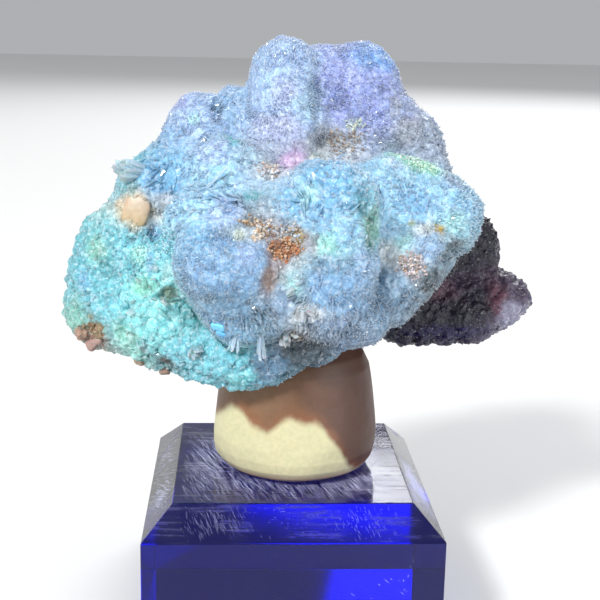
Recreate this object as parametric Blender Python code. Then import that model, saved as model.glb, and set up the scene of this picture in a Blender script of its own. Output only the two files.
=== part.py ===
# A creedite specimen on its display stand.
# Balls of radiating crystals have grown together into one cluster. The cluster is pressed
# into a rounded lump of putty, and the putty stands on a square acrylic block whose top
# edges are bevelled. The origin is the middle of the block's underside, +Z is up, and the
# specimen's display side faces -Y.

import math
import random

import bmesh
import bpy
from mathutils import Matrix, Vector, noise

MM = 0.001
GAP = 0.3                # clearance between pieces that touch, mm

BLOCK_SIDE = 38.1        # square acrylic block, mm
BLOCK_HEIGHT = 19.05
BLOCK_BEVEL = 3.8        # the top edges' 45 degree bevel

PUTTY_X = 0.7            # where the putty stands on the block, mm
PUTTY_Y = 0.0
PUTTY_TOP = 39.0         # top of its dome, hidden in the cluster, above the block's underside
PUTTY_FOOT = BLOCK_HEIGHT + GAP
# How far up the putty each ring lies, as a share of its height, and the ring's radius in mm.
PUTTY_RINGS = (
    (0.000, 8.4), (0.012, 9.4), (0.040, 10.3), (0.085, 10.9), (0.150, 11.2), (0.240, 11.3),
    (0.360, 11.1), (0.480, 10.8), (0.600, 10.4), (0.710, 9.9), (0.800, 9.0), (0.870, 7.7),
    (0.930, 5.9), (0.975, 3.5),
)
PUTTY_SIDES = 40
PUTTY_WAVES = ((2, 0.25, 0.7), (3, 0.15, 2.4))   # its hand-shaped side: lobes, mm, turn

BALL_SUBDIVISIONS = 4
JOIN_VOXEL = 0.6         # grid on which the balls are joined, mm
FACES_BEFORE_POINTS = 2150
LUMPS = ((2.8, 0.45), (1.1, 0.5))    # uneven growth on the balls: size and height, mm
POINT_REACH = 0.55       # how far inside a ball's stated radius the crystal points begin, mm
POINT_LEAST = 0.4        # shortest crystal point, as a share of the longest
POINT_SLENDER = 1.05     # tallest point that a face may carry, as a share of its size
VALLEY_ROOM = 0.55       # share of a valley's room that a point may fill
RADIAL_SHARE = 0.55      # how far points lean from their face towards the ball's radius
RADIAL_LIMIT = 0.5       # no lean where the face looks away from its ball's radius
SEED = 7

CRYSTAL_FLATNESS = 0.7   # a large crystal's thickness as a share of its width
CHISEL_ENDS = (-0.45, 0.6)          # where its end edge starts and stops, in half widths
CRYSTAL_LENGTHS = (0.85, 1.1)       # least and most, as shares of a spray's length
CRYSTAL_WIDTHS = (0.75, 1.2)
SPRAY_DISORDER = 0.3     # radians

# Balls of crystals: name, centre (mm), radii (mm) out to the crystal tips, and the height of
# the crystal points on it (mm). The rear ones are out of the display side's sight.
BALLS = (
    ("core_middle", (-1.0, 3.0, 51.0), (17.0, 14.0, 11.0), 1.4),
    ("core_low", (-2.0, 4.0, 43.0), (14.0, 12.0, 8.0), 1.4),
    ("core_left", (-16.0, 3.0, 47.0), (11.0, 10.0, 8.5), 1.4),
    ("core_right", (13.0, 6.0, 50.0), (11.0, 11.0, 9.0), 1.4),
    ("core_top", (3.0, 8.0, 61.5), (11.0, 9.0, 8.0), 1.4),
    ("crown_left", (-1.2, 3.0, 69.0), (5.1, 5.6, 7.8), 1.5),
    ("crown_left_foot", (-1.0, 2.0, 64.5), (5.3, 5.5, 6.0), 1.5),
    ("crown_saddle", (4.0, 6.0, 71.0), (3.8, 4.5, 4.8), 1.3),
    ("crown_right", (7.5, 7.0, 69.0), (5.0, 5.6, 6.4), 1.5),
    ("crown_corner", (10.2, 8.0, 70.0), (4.6, 5.0, 5.8), 1.5),
    ("crown_right_foot", (12.0, 7.0, 64.5), (5.0, 5.0, 5.2), 1.2),
    ("left_ball", (-12.8, 3.0, 65.2), (3.9, 4.2, 4.2), 1.3),
    ("left_ball_small", (-8.2, 5.0, 65.8), (2.8, 3.5, 3.8), 1.1),
    ("left_ball_foot", (-12.2, 2.0, 61.0), (5.4, 5.0, 5.2), 1.2),
    ("shoulder", (-9.0, -4.0, 59.5), (5.5, 5.0, 4.5), 1.2),
    ("shoulder_left", (-16.5, 1.0, 57.5), (5.5, 5.5, 5.0), 1.2),
    ("shoulder_edge", (-19.5, 2.0, 55.5), (4.0, 5.0, 4.0), 1.1),
    ("left_lobe_top", (-22.5, 0.0, 48.6), (6.0, 6.0, 5.6), 1.5),
    ("left_lobe", (-24.6, 0.0, 43.6), (5.7, 6.0, 6.0), 1.5),
    ("left_lobe_foot", (-23.7, -1.0, 39.2), (6.0, 6.0, 4.0), 1.4),
    ("left_mid", (-17.0, -5.0, 42.0), (7.0, 6.0, 6.0), 1.6),
    ("left_low", (-15.0, -5.0, 37.6), (6.5, 6.0, 4.2), 1.5),
    ("lip_left", (-9.5, -8.0, 36.8), (5.2, 5.0, 3.8), 1.4),
    ("lip", (-5.0, -9.0, 36.0), (5.0, 4.5, 3.8), 1.4),
    ("lip_right", (1.5, -9.0, 39.0), (5.0, 4.5, 3.6), 1.3),
    ("front_ball", (-9.5, -15.0, 49.5), (6.0, 5.0, 5.4), 1.0),
    ("front_ball_foot", (-6.5, -14.0, 44.0), (5.5, 4.5, 4.5), 1.2),
    ("plate", (-10.0, -10.0, 55.0), (6.5, 5.0, 4.0), 1.2),
    ("right_front_ball", (3.5, -11.0, 56.0), (6.5, 6.0, 6.2), 1.4),
    ("right_front_foot", (4.5, -12.0, 50.0), (5.5, 5.0, 5.0), 1.3),
    ("low_ball", (3.0, -13.0, 45.0), (6.0, 5.0, 5.8), 1.4),
    ("low_right", (8.0, -10.0, 42.3), (4.5, 4.5, 3.9), 1.2),
    ("right_lobe", (17.2, -3.0, 54.0), (7.7, 7.0, 6.5), 1.5),
    ("right_lobe_inner", (12.0, -4.0, 57.0), (5.5, 6.0, 5.0), 1.4),
    ("right_pink", (14.5, -5.0, 47.0), (5.0, 5.0, 4.8), 1.2),
    ("right_under", (11.5, -3.0, 43.2), (4.5, 4.5, 3.8), 1.1),
    ("ridge_top", (15.4, 8.0, 64.2), (3.2, 4.0, 3.2), 1.0),
    ("ridge", (17.6, 8.0, 61.5), (3.4, 4.5, 3.8), 1.0),
    ("ridge_low", (18.0, 6.0, 57.5), (3.6, 4.5, 3.6), 1.1),
    ("shadow_lobe", (25.2, 8.0, 48.0), (4.4, 5.0, 5.0), 1.2),
    ("foot_neck", (17.5, 9.0, 43.0), (7.0, 6.5, 5.5), 1.1),
    ("foot_lobe", (18.5, 7.0, 38.2), (8.0, 6.0, 4.3), 1.2),
    ("foot_lobe_mid", (25.5, 7.0, 38.8), (6.2, 5.5, 4.2), 1.2),
    ("foot_lobe_tip", (30.8, 7.0, 41.0), (3.5, 4.0, 3.3), 1.1),
    ("rear_top", (5.0, 14.0, 63.0), (8.0, 6.5, 6.5), 1.5),
    ("rear_top_left", (-7.0, 12.0, 59.0), (7.5, 7.0, 6.0), 1.4),
    ("rear_left", (-18.0, 10.0, 49.5), (7.5, 7.5, 6.5), 1.5),
    ("rear_left_low", (-14.0, 10.0, 41.5), (7.5, 7.0, 5.5), 1.4),
    ("rear_middle", (-3.0, 17.0, 51.0), (7.5, 6.0, 7.5), 1.5),
    ("rear_middle_low", (3.0, 15.0, 42.5), (7.5, 6.5, 5.5), 1.4),
    ("rear_right", (12.0, 16.0, 54.0), (7.5, 6.5, 6.5), 1.5),
    ("rear_right_low", (15.0, 14.0, 45.0), (8.0, 6.5, 5.5), 1.4),
)

# Larger single crystals: name, the point inside the cluster that they grow from (mm), the way
# they point, how far they fan out (degrees), how many, their length and their width (mm).
SPRAYS = (
    ("shoulder_block", (-20.6, 3.0, 57.6), (-1.0, -0.2, 0.35), 24.0, 5, 2.6, 1.7),
    ("low_ball_fringe", (1.5, -13.5, 43.0), (-0.3, -0.5, -1.0), 38.0, 7, 5.6, 1.1),
    ("front_foot_fringe", (-6.0, -13.5, 43.5), (0.0, -0.6, -1.0), 34.0, 5, 5.0, 1.0),
    ("left_mid_blades", (-17.5, -6.0, 43.5), (-0.2, -1.0, 0.1), 55.0, 8, 6.4, 1.4),
    ("left_low_blades", (-14.5, -6.0, 38.5), (0.0, -1.0, -0.5), 50.0, 6, 5.6, 1.3),
    ("lip_blades", (-6.5, -9.0, 37.5), (0.0, -1.0, -0.5), 50.0, 6, 5.2, 1.2),
    ("plate_blades", (-10.0, -9.5, 54.5), (0.1, -1.0, 0.8), 45.0, 6, 5.0, 1.3),
    ("right_front_blades", (3.5, -11.0, 55.0), (0.1, -1.0, 0.4), 50.0, 6, 6.4, 1.1),
)

CLUSTER_COLOUR = (0.62, 0.70, 0.86, 1.0)
PUTTY_COLOUR = (0.62, 0.55, 0.36, 1.0)
BLOCK_COLOUR = (0.05, 0.07, 0.45, 1.0)


def clear_scene():
    for obj in list(bpy.data.objects):
        bpy.data.objects.remove(obj, do_unlink=True)


def to_metres(values):
    return Vector(value * MM for value in values)


def make_material(name, colour, roughness, transmission=0.0):
    material = bpy.data.materials.new(name)
    material.use_nodes = True
    shader = material.node_tree.nodes["Principled BSDF"]
    shader.inputs["Base Color"].default_value = colour
    shader.inputs["Roughness"].default_value = roughness
    shader.inputs["Metallic"].default_value = 0.0
    shader.inputs["Transmission Weight"].default_value = transmission
    return material


def object_from_bmesh(bm, name):
    mesh = bpy.data.meshes.new(name)
    bm.to_mesh(mesh)
    bm.free()
    obj = bpy.data.objects.new(name, mesh)
    bpy.context.scene.collection.objects.link(obj)
    return obj


def apply_modifiers(obj):
    # The object's mesh becomes what its modifiers make of it.
    depsgraph = bpy.context.evaluated_depsgraph_get()
    result = bpy.data.meshes.new_from_object(obj.evaluated_get(depsgraph))
    obj.modifiers.clear()
    obj.data = result


def make_block():
    # A square prism whose top edges alone are bevelled.
    bm = bmesh.new()
    size = Matrix.Diagonal(to_metres((BLOCK_SIDE, BLOCK_SIDE, BLOCK_HEIGHT)).to_4d())
    lift = Matrix.Translation(to_metres((0.0, 0.0, BLOCK_HEIGHT / 2)))
    bmesh.ops.create_cube(bm, size=1.0, matrix=lift @ size)
    middle = BLOCK_HEIGHT / 2 * MM
    edges = [edge for edge in bm.edges if all(vert.co.z > middle for vert in edge.verts)]
    bmesh.ops.bevel(bm, geom=edges, offset=BLOCK_BEVEL * MM, offset_type="OFFSET",
                    segments=1, profile=0.5, affect="EDGES")
    return object_from_bmesh(bm, "acrylic_base")


def putty_bmesh(grow):
    # A turned shape whose radius wanders a little with the angle and the height, as a lump
    # rolled and pressed by hand does. grow makes the same shape larger all round, in mm.
    bm = bmesh.new()
    height = PUTTY_TOP - PUTTY_FOOT
    rings = []
    for share, radius in PUTTY_RINGS:
        ring = []
        for side in range(PUTTY_SIDES):
            angle = 2 * math.pi * side / PUTTY_SIDES
            wave = sum(high * math.sin(lobes * angle + turn) for lobes, high, turn in PUTTY_WAVES)
            reach = radius + grow + wave * share
            x = PUTTY_X + reach * math.cos(angle)
            y = PUTTY_Y + reach * math.sin(angle)
            z = PUTTY_FOOT + height * share + grow * share
            ring.append(bm.verts.new(to_metres((x, y, z))))
        rings.append(ring)
    top = bm.verts.new(to_metres((PUTTY_X, PUTTY_Y, PUTTY_TOP + grow)))
    for low, high in zip(rings, rings[1:]):
        for side in range(PUTTY_SIDES):
            after = (side + 1) % PUTTY_SIDES
            bm.faces.new((low[side], low[after], high[after], high[side]))
    for side in range(PUTTY_SIDES):
        bm.faces.new((rings[-1][side], rings[-1][(side + 1) % PUTTY_SIDES], top))
    bm.faces.new(list(reversed(rings[0])))
    bmesh.ops.triangulate(bm, faces=bm.faces[:])
    return bm


def joined_balls():
    # The balls are joined on a fine grid, made uneven, and brought down to large flat faces.
    bm = bmesh.new()
    for _, centre, radii, _ in BALLS:
        size = Matrix.Diagonal(to_metres([radius - POINT_REACH for radius in radii]).to_4d())
        place = Matrix.Translation(to_metres(centre))
        bmesh.ops.create_icosphere(bm, subdivisions=BALL_SUBDIVISIONS, radius=1.0,
                                   matrix=place @ size)
    obj = object_from_bmesh(bm, "creedite_cluster")
    join = obj.modifiers.new("join", "REMESH")
    join.mode = "VOXEL"
    join.voxel_size = JOIN_VOXEL * MM
    apply_modifiers(obj)
    mesh = obj.data
    normals = [vert.normal.copy() for vert in mesh.vertices]
    for vert, normal in zip(mesh.vertices, normals):
        wave = sum(height * noise.noise(vert.co / (size * MM)) for size, height in LUMPS)
        vert.co += normal * wave * MM
    coarse = obj.modifiers.new("coarse", "DECIMATE")
    coarse.use_collapse_triangulate = True
    coarse.ratio = FACES_BEFORE_POINTS / (2 * len(mesh.polygons))
    apply_modifiers(obj)
    return obj


def nearest_ball(point):
    # The ball whose surface passes closest to the point, by each ball's own radii.
    def depth(ball):
        _, centre, radii, _ = ball
        offset = point / MM - Vector(centre)
        share = Vector(axis / radius for axis, radius in zip(offset, radii)).length
        return abs(share - 1.0) * min(radii)
    return min(BALLS, key=depth)


def point_room(face, centre):
    # The highest point that the face can carry and stay clear of the points across each of
    # its edges: in a valley it stays under the plane that halves the valley.
    room = POINT_SLENDER * math.sqrt(face.calc_area())
    for edge in face.edges:
        if len(edge.link_faces) != 2 or edge.is_convex:
            continue
        opening = math.pi - abs(edge.calc_face_angle_signed())
        a, b = (vert.co for vert in edge.verts)
        reach = (centre - a).cross(b - a).length / (b - a).length
        room = min(room, VALLEY_ROOM * reach * math.tan(opening / 2))
    return room


def add_points(obj):
    # Each face is raised to a crystal's point, leaning the way that its ball's crystals grow.
    rng = random.Random(SEED)
    bm = bmesh.new()
    bm.from_mesh(obj.data)
    bm.normal_update()
    raised = []
    for face in bm.faces:
        centre = face.calc_center_median()
        _, ball_centre, _, height = nearest_ball(centre)
        radial = (centre - to_metres(ball_centre)).normalized()
        lean = RADIAL_SHARE if radial.dot(face.normal) > RADIAL_LIMIT else 0.0
        way = (face.normal * (1.0 - lean) + radial * lean).normalized()
        tall = height * MM * rng.uniform(POINT_LEAST, 1.0)
        raised.append(centre + way * min(tall, point_room(face, centre)))
    result = bmesh.ops.poke(bm, faces=bm.faces[:])
    for vert, place in zip(result["verts"], raised):
        vert.co = place
    bm.to_mesh(obj.data)
    bm.free()


def crystal_bmesh(bm, root, way, length, width, turn):
    # One four-sided crystal from root along way, ending in a chisel edge.
    turned = way.to_track_quat("Z", "X").to_matrix().to_4x4()
    place = Matrix.Translation(root) @ turned @ Matrix.Rotation(turn, 4, "Z")
    half = width / 2
    thick = half * CRYSTAL_FLATNESS
    corners = ((-half, -thick), (half, -thick), (half, thick), (-half, thick))
    low = [bm.verts.new(place @ Vector((x, y, 0.0))) for x, y in corners]
    high = [bm.verts.new(place @ Vector((x, y, length - width))) for x, y in corners]
    ends = [bm.verts.new(place @ Vector((end * half, 0.0, length))) for end in CHISEL_ENDS]
    bm.faces.new(list(reversed(low)))
    for side in range(4):
        after = (side + 1) % 4
        bm.faces.new((low[side], low[after], high[after], high[side]))
    bm.faces.new((high[0], high[1], ends[1], ends[0]))
    bm.faces.new((high[2], high[3], ends[0], ends[1]))
    bm.faces.new((high[1], high[2], ends[1]))
    bm.faces.new((high[3], high[0], ends[0]))


def spray_directions(rng, aim, fan, count):
    # Directions spread evenly over a cone by the golden angle, with a little disorder.
    axis = Vector(aim).normalized()
    turned = axis.to_track_quat("Z", "X")
    golden = math.pi * (3 - math.sqrt(5))
    for index in range(count):
        tilt = math.radians(fan) * math.sqrt((index + 0.5) / count)
        angle = index * golden + rng.uniform(-SPRAY_DISORDER, SPRAY_DISORDER)
        flat = Vector((math.sin(tilt) * math.cos(angle), math.sin(tilt) * math.sin(angle),
                       math.cos(tilt)))
        yield turned @ flat


def join_solid(obj, tool_bm, operation):
    # Adds the tool's solids to the object, or cuts them from it.
    tool = object_from_bmesh(tool_bm, "tool")
    tool.hide_render = True
    tool.display_type = "WIRE"
    boolean = obj.modifiers.new(operation.lower(), "BOOLEAN")
    boolean.operation = operation
    boolean.solver = "EXACT"
    boolean.use_self = operation == "UNION"
    boolean.object = tool
    apply_modifiers(obj)
    bpy.data.objects.remove(tool, do_unlink=True)


def add_sprays(obj):
    rng = random.Random(SEED + 1)
    bm = bmesh.new()
    for _, centre, aim, fan, count, length, width in SPRAYS:
        for way in spray_directions(rng, aim, fan, count):
            reach = length * rng.uniform(*CRYSTAL_LENGTHS) * MM
            wide = width * rng.uniform(*CRYSTAL_WIDTHS) * MM
            crystal_bmesh(bm, to_metres(centre), way, reach, wide, rng.uniform(0, math.pi))
    join_solid(obj, bm, "UNION")


def body_of(vert):
    # The vertices that edges join to this one.
    found = {vert}
    edge_of_search = [vert]
    while edge_of_search:
        links = edge_of_search.pop().link_edges
        for other in (edge.other_vert(v) for edge in links for v in edge.verts):
            if other not in found:
                found.add(other)
                edge_of_search.append(other)
    return found


def keep_largest_body(obj):
    # Crumbs that the socket's cut leaves loose are taken away.
    bm = bmesh.new()
    bm.from_mesh(obj.data)
    left = set(bm.verts)
    bodies = []
    while left:
        bodies.append(body_of(next(iter(left))))
        left -= bodies[-1]
    bodies.sort(key=len)
    for body in bodies[:-1]:
        bmesh.ops.delete(bm, geom=list(body), context="VERTS")
    bm.to_mesh(obj.data)
    bm.free()


def make_cluster():
    obj = joined_balls()
    add_points(obj)
    add_sprays(obj)
    join_solid(obj, putty_bmesh(GAP), "DIFFERENCE")
    keep_largest_body(obj)
    return obj


def main():
    clear_scene()
    block = make_block()
    putty = object_from_bmesh(putty_bmesh(0.0), "mounting_putty")
    cluster = make_cluster()
    block.data.materials.append(make_material("acrylic", BLOCK_COLOUR, 0.05, 1.0))
    putty.data.materials.append(make_material("putty", PUTTY_COLOUR, 0.7))
    cluster.data.materials.clear()
    cluster.data.materials.append(make_material("creedite", CLUSTER_COLOUR, 0.35))
    putty.data.shade_smooth()
    for obj in (block, cluster):
        obj.data.shade_flat()


main()
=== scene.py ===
import math
import bpy
import numpy as np
from mathutils import Matrix, Vector


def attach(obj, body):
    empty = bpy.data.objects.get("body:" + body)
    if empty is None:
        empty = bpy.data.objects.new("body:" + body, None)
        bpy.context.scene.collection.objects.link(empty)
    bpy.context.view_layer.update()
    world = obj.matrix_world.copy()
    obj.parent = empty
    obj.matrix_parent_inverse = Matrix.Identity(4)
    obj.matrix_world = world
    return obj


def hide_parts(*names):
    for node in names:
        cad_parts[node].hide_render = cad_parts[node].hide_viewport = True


# A creedite specimen: balls of needle crystals, pressed into putty on a bevelled acrylic block.
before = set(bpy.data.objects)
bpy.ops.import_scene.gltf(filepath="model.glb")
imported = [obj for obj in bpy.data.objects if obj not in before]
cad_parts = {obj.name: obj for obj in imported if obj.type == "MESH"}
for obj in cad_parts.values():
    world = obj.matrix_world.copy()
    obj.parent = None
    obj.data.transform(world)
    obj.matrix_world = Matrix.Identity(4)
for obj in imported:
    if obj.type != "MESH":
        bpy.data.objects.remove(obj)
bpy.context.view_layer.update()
mm = 0.001


# The view of the photograph
photoView = {
    "place": (-7.63, -150.54, 77.31),    # mm
    "lens": 68.93,                       # on a 36 mm wide sensor
    "right": 3.33, "down": 13.23, "roll": 1.21,    # degrees
}


def setCamera(view):
    data = bpy.data.cameras.new("photoCamera")
    data.lens = view["lens"]
    data.sensor_width = 36.0
    data.clip_start = 0.01
    camera = bpy.data.objects.new("photoCamera", data)
    turn = Matrix.Rotation(math.radians(-view["right"]), 4, "Z")
    tip = Matrix.Rotation(math.radians(90 - view["down"]), 4, "X")
    roll = Matrix.Rotation(math.radians(view["roll"]), 4, "Z")
    place = Matrix.Translation([value * mm for value in view["place"]])
    camera.matrix_world = place @ turn @ tip @ roll
    bpy.context.scene.collection.objects.link(camera)
    bpy.context.scene.camera = camera


# Soft studio light: place and aim in mm, size in mm, power in watts
studioLights = {
    "keyLight": {"place": (-700, -880, 950), "aim": (0, 0, 50), "size": 250, "power": 22,
                 "colour": (1.0, 0.985, 0.97)},
    "fillLight": {"place": (900, -700, 300), "aim": (0, 0, 45), "size": 800, "power": 6.5,
                  "colour": (0.93, 0.96, 1.0)},
    "backLight": {"place": (400, 1000, 800), "aim": (0, 0, 50), "size": 700, "power": 9,
                  "colour": (0.96, 0.98, 1.0)},
}
surroundings = {"colour": (0.90, 0.92, 0.95), "strength": 0.47}


def lightStudio():
    for name, light in studioLights.items():
        data = bpy.data.lights.new(name, "AREA")
        data.size = light["size"] * mm
        data.energy = light["power"]
        data.color = light["colour"]
        lamp = bpy.data.objects.new(name, data)
        place = np.array(light["place"], float) * mm
        back = place - np.array(light["aim"], float) * mm
        lamp.matrix_world = Matrix.Translation(place) @ lookAlong(back)
        bpy.context.scene.collection.objects.link(lamp)
    world = bpy.data.worlds.new("studioWorld")
    world.use_nodes = True
    background = world.node_tree.nodes["Background"]
    background.inputs["Color"].default_value = (*surroundings["colour"], 1.0)
    background.inputs["Strength"].default_value = surroundings["strength"]
    bpy.context.scene.world = world
    bpy.context.scene.view_settings.view_transform = "Standard"


def lookAlong(back):
    # A turn whose +Z points along the given direction, so that a lamp's light leaves the other way
    return Vector(back).to_track_quat("Z", "Y").to_matrix().to_4x4()


# Numbers
primeSteps = np.array([73856093, 19349663, 83492791])
lowBits = 0x7FFFFFFF
noiseSeeds = {
    "wander": 40, "swell": 11, "lobes": 29, "cobbles": 21, "facets": 33, "bright": 61,
    "brightFine": 62, "warm": 63, "green": 64, "lump": 71, "lumpFine": 72, "putty": 3,
    "puttyFine": 4,
}


def cellKeys(cells, seed):
    # A steady random whole number for each cell of a cubic grid: its three places and the
    # seed, each multiplied by a prime, added and folded
    key = cells @ primeSteps + seed * 7919
    return ((key ^ (key >> 13)) * 1274126177) & lowBits


def steadyNoise(points, size, seed):
    # Random values at the corners of a cubic grid of the given size, blended smoothly, -1 to 1
    places = np.asarray(points, float) / size
    cell = np.floor(places).astype(np.int64)
    part = places - cell
    part = part * part * (3.0 - 2.0 * part)
    total = np.zeros(len(places))
    for corner in range(8):
        step = np.array([(corner >> axis) & 1 for axis in range(3)])
        key = cellKeys(cell + step, seed)
        value = ((key ^ (key >> 15)) & 0xFFFF) / 32767.5 - 1.0
        total += value * np.prod(np.where(step, part, 1.0 - part), axis=1)
    return total


def unitRows(rows):
    return rows / np.maximum(np.linalg.norm(rows, axis=1, keepdims=True), 1e-12)


def evenDirections(count, rng, disorder):
    # Directions spread over a whole ball by the golden angle, each moved aside a little
    index = np.arange(count) + 0.5
    height = 1.0 - 2.0 * index / count
    angle = index * math.pi * (3.0 - math.sqrt(5.0)) + rng.uniform(0, 2 * math.pi)
    flat = np.sqrt(1.0 - height ** 2)
    spread = np.stack([flat * np.cos(angle), flat * np.sin(angle), height], axis=1)
    step = disorder * math.sqrt(4 * math.pi / count)
    return unitRows(spread + rng.normal(0, step, (count, 3)))


def linearColour(colour):
    # From 0 to 255 as a screen shows it, to the linear values that Blender's sockets take
    share = np.asarray(colour, float) / 255.0
    return np.where(share <= 0.04045, share / 12.92, ((share + 0.055) / 1.055) ** 2.4)


def makePiece(name, points, faces, material, smooth=False):
    # points in mm. faces is one array of corner numbers, 3 or 4 to a row.
    mesh = bpy.data.meshes.new(name)
    width = faces.shape[1]
    mesh.vertices.add(len(points))
    mesh.vertices.foreach_set("co", (np.asarray(points) * mm).astype(np.float32).ravel())
    mesh.loops.add(faces.size)
    mesh.loops.foreach_set("vertex_index", faces.astype(np.int32).ravel())
    mesh.polygons.add(len(faces))
    mesh.polygons.foreach_set("loop_start", np.arange(0, faces.size, width, dtype=np.int32))
    mesh.polygons.foreach_set("use_smooth", np.full(len(faces), smooth))
    mesh.update(calc_edges=True)
    mesh.validate()
    mesh.materials.append(material)
    piece = bpy.data.objects.new(name, mesh)
    bpy.context.scene.collection.objects.link(piece)
    return piece


def joinParts(name, parts, material, smooth=False):
    # One piece made of many parts, each a list that starts with its points and its faces
    first = np.cumsum([0] + [len(part[0]) for part in parts])
    points = np.concatenate([part[0] for part in parts])
    faces = np.concatenate([part[1] + start for part, start in zip(parts, first)])
    return makePiece(name, points, faces, material, smooth), points


def repeatFaces(pattern, count, corners):
    # The same triangles for each of a number of like shapes whose corners follow each other
    return (np.arange(count)[:, None, None] * corners + np.array(pattern)).reshape(-1, 3)


def storeValues(piece, name, values):
    # A value or a colour for each vertex, for the material to read by name
    kind, field = ("FLOAT", "value") if values.ndim == 1 else ("FLOAT_COLOR", "color")
    if values.ndim == 2:
        values = np.concatenate([values, np.ones((len(values), 1))], axis=1)
    layer = piece.data.attributes.new(name, kind, "POINT")
    layer.data.foreach_set(field, values.astype(np.float32).ravel())


def meshPlaces(mesh):
    points = np.empty(len(mesh.vertices) * 3, np.float32)
    mesh.vertices.foreach_get("co", points)
    return points.reshape(-1, 3).astype(float) / mm


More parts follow.
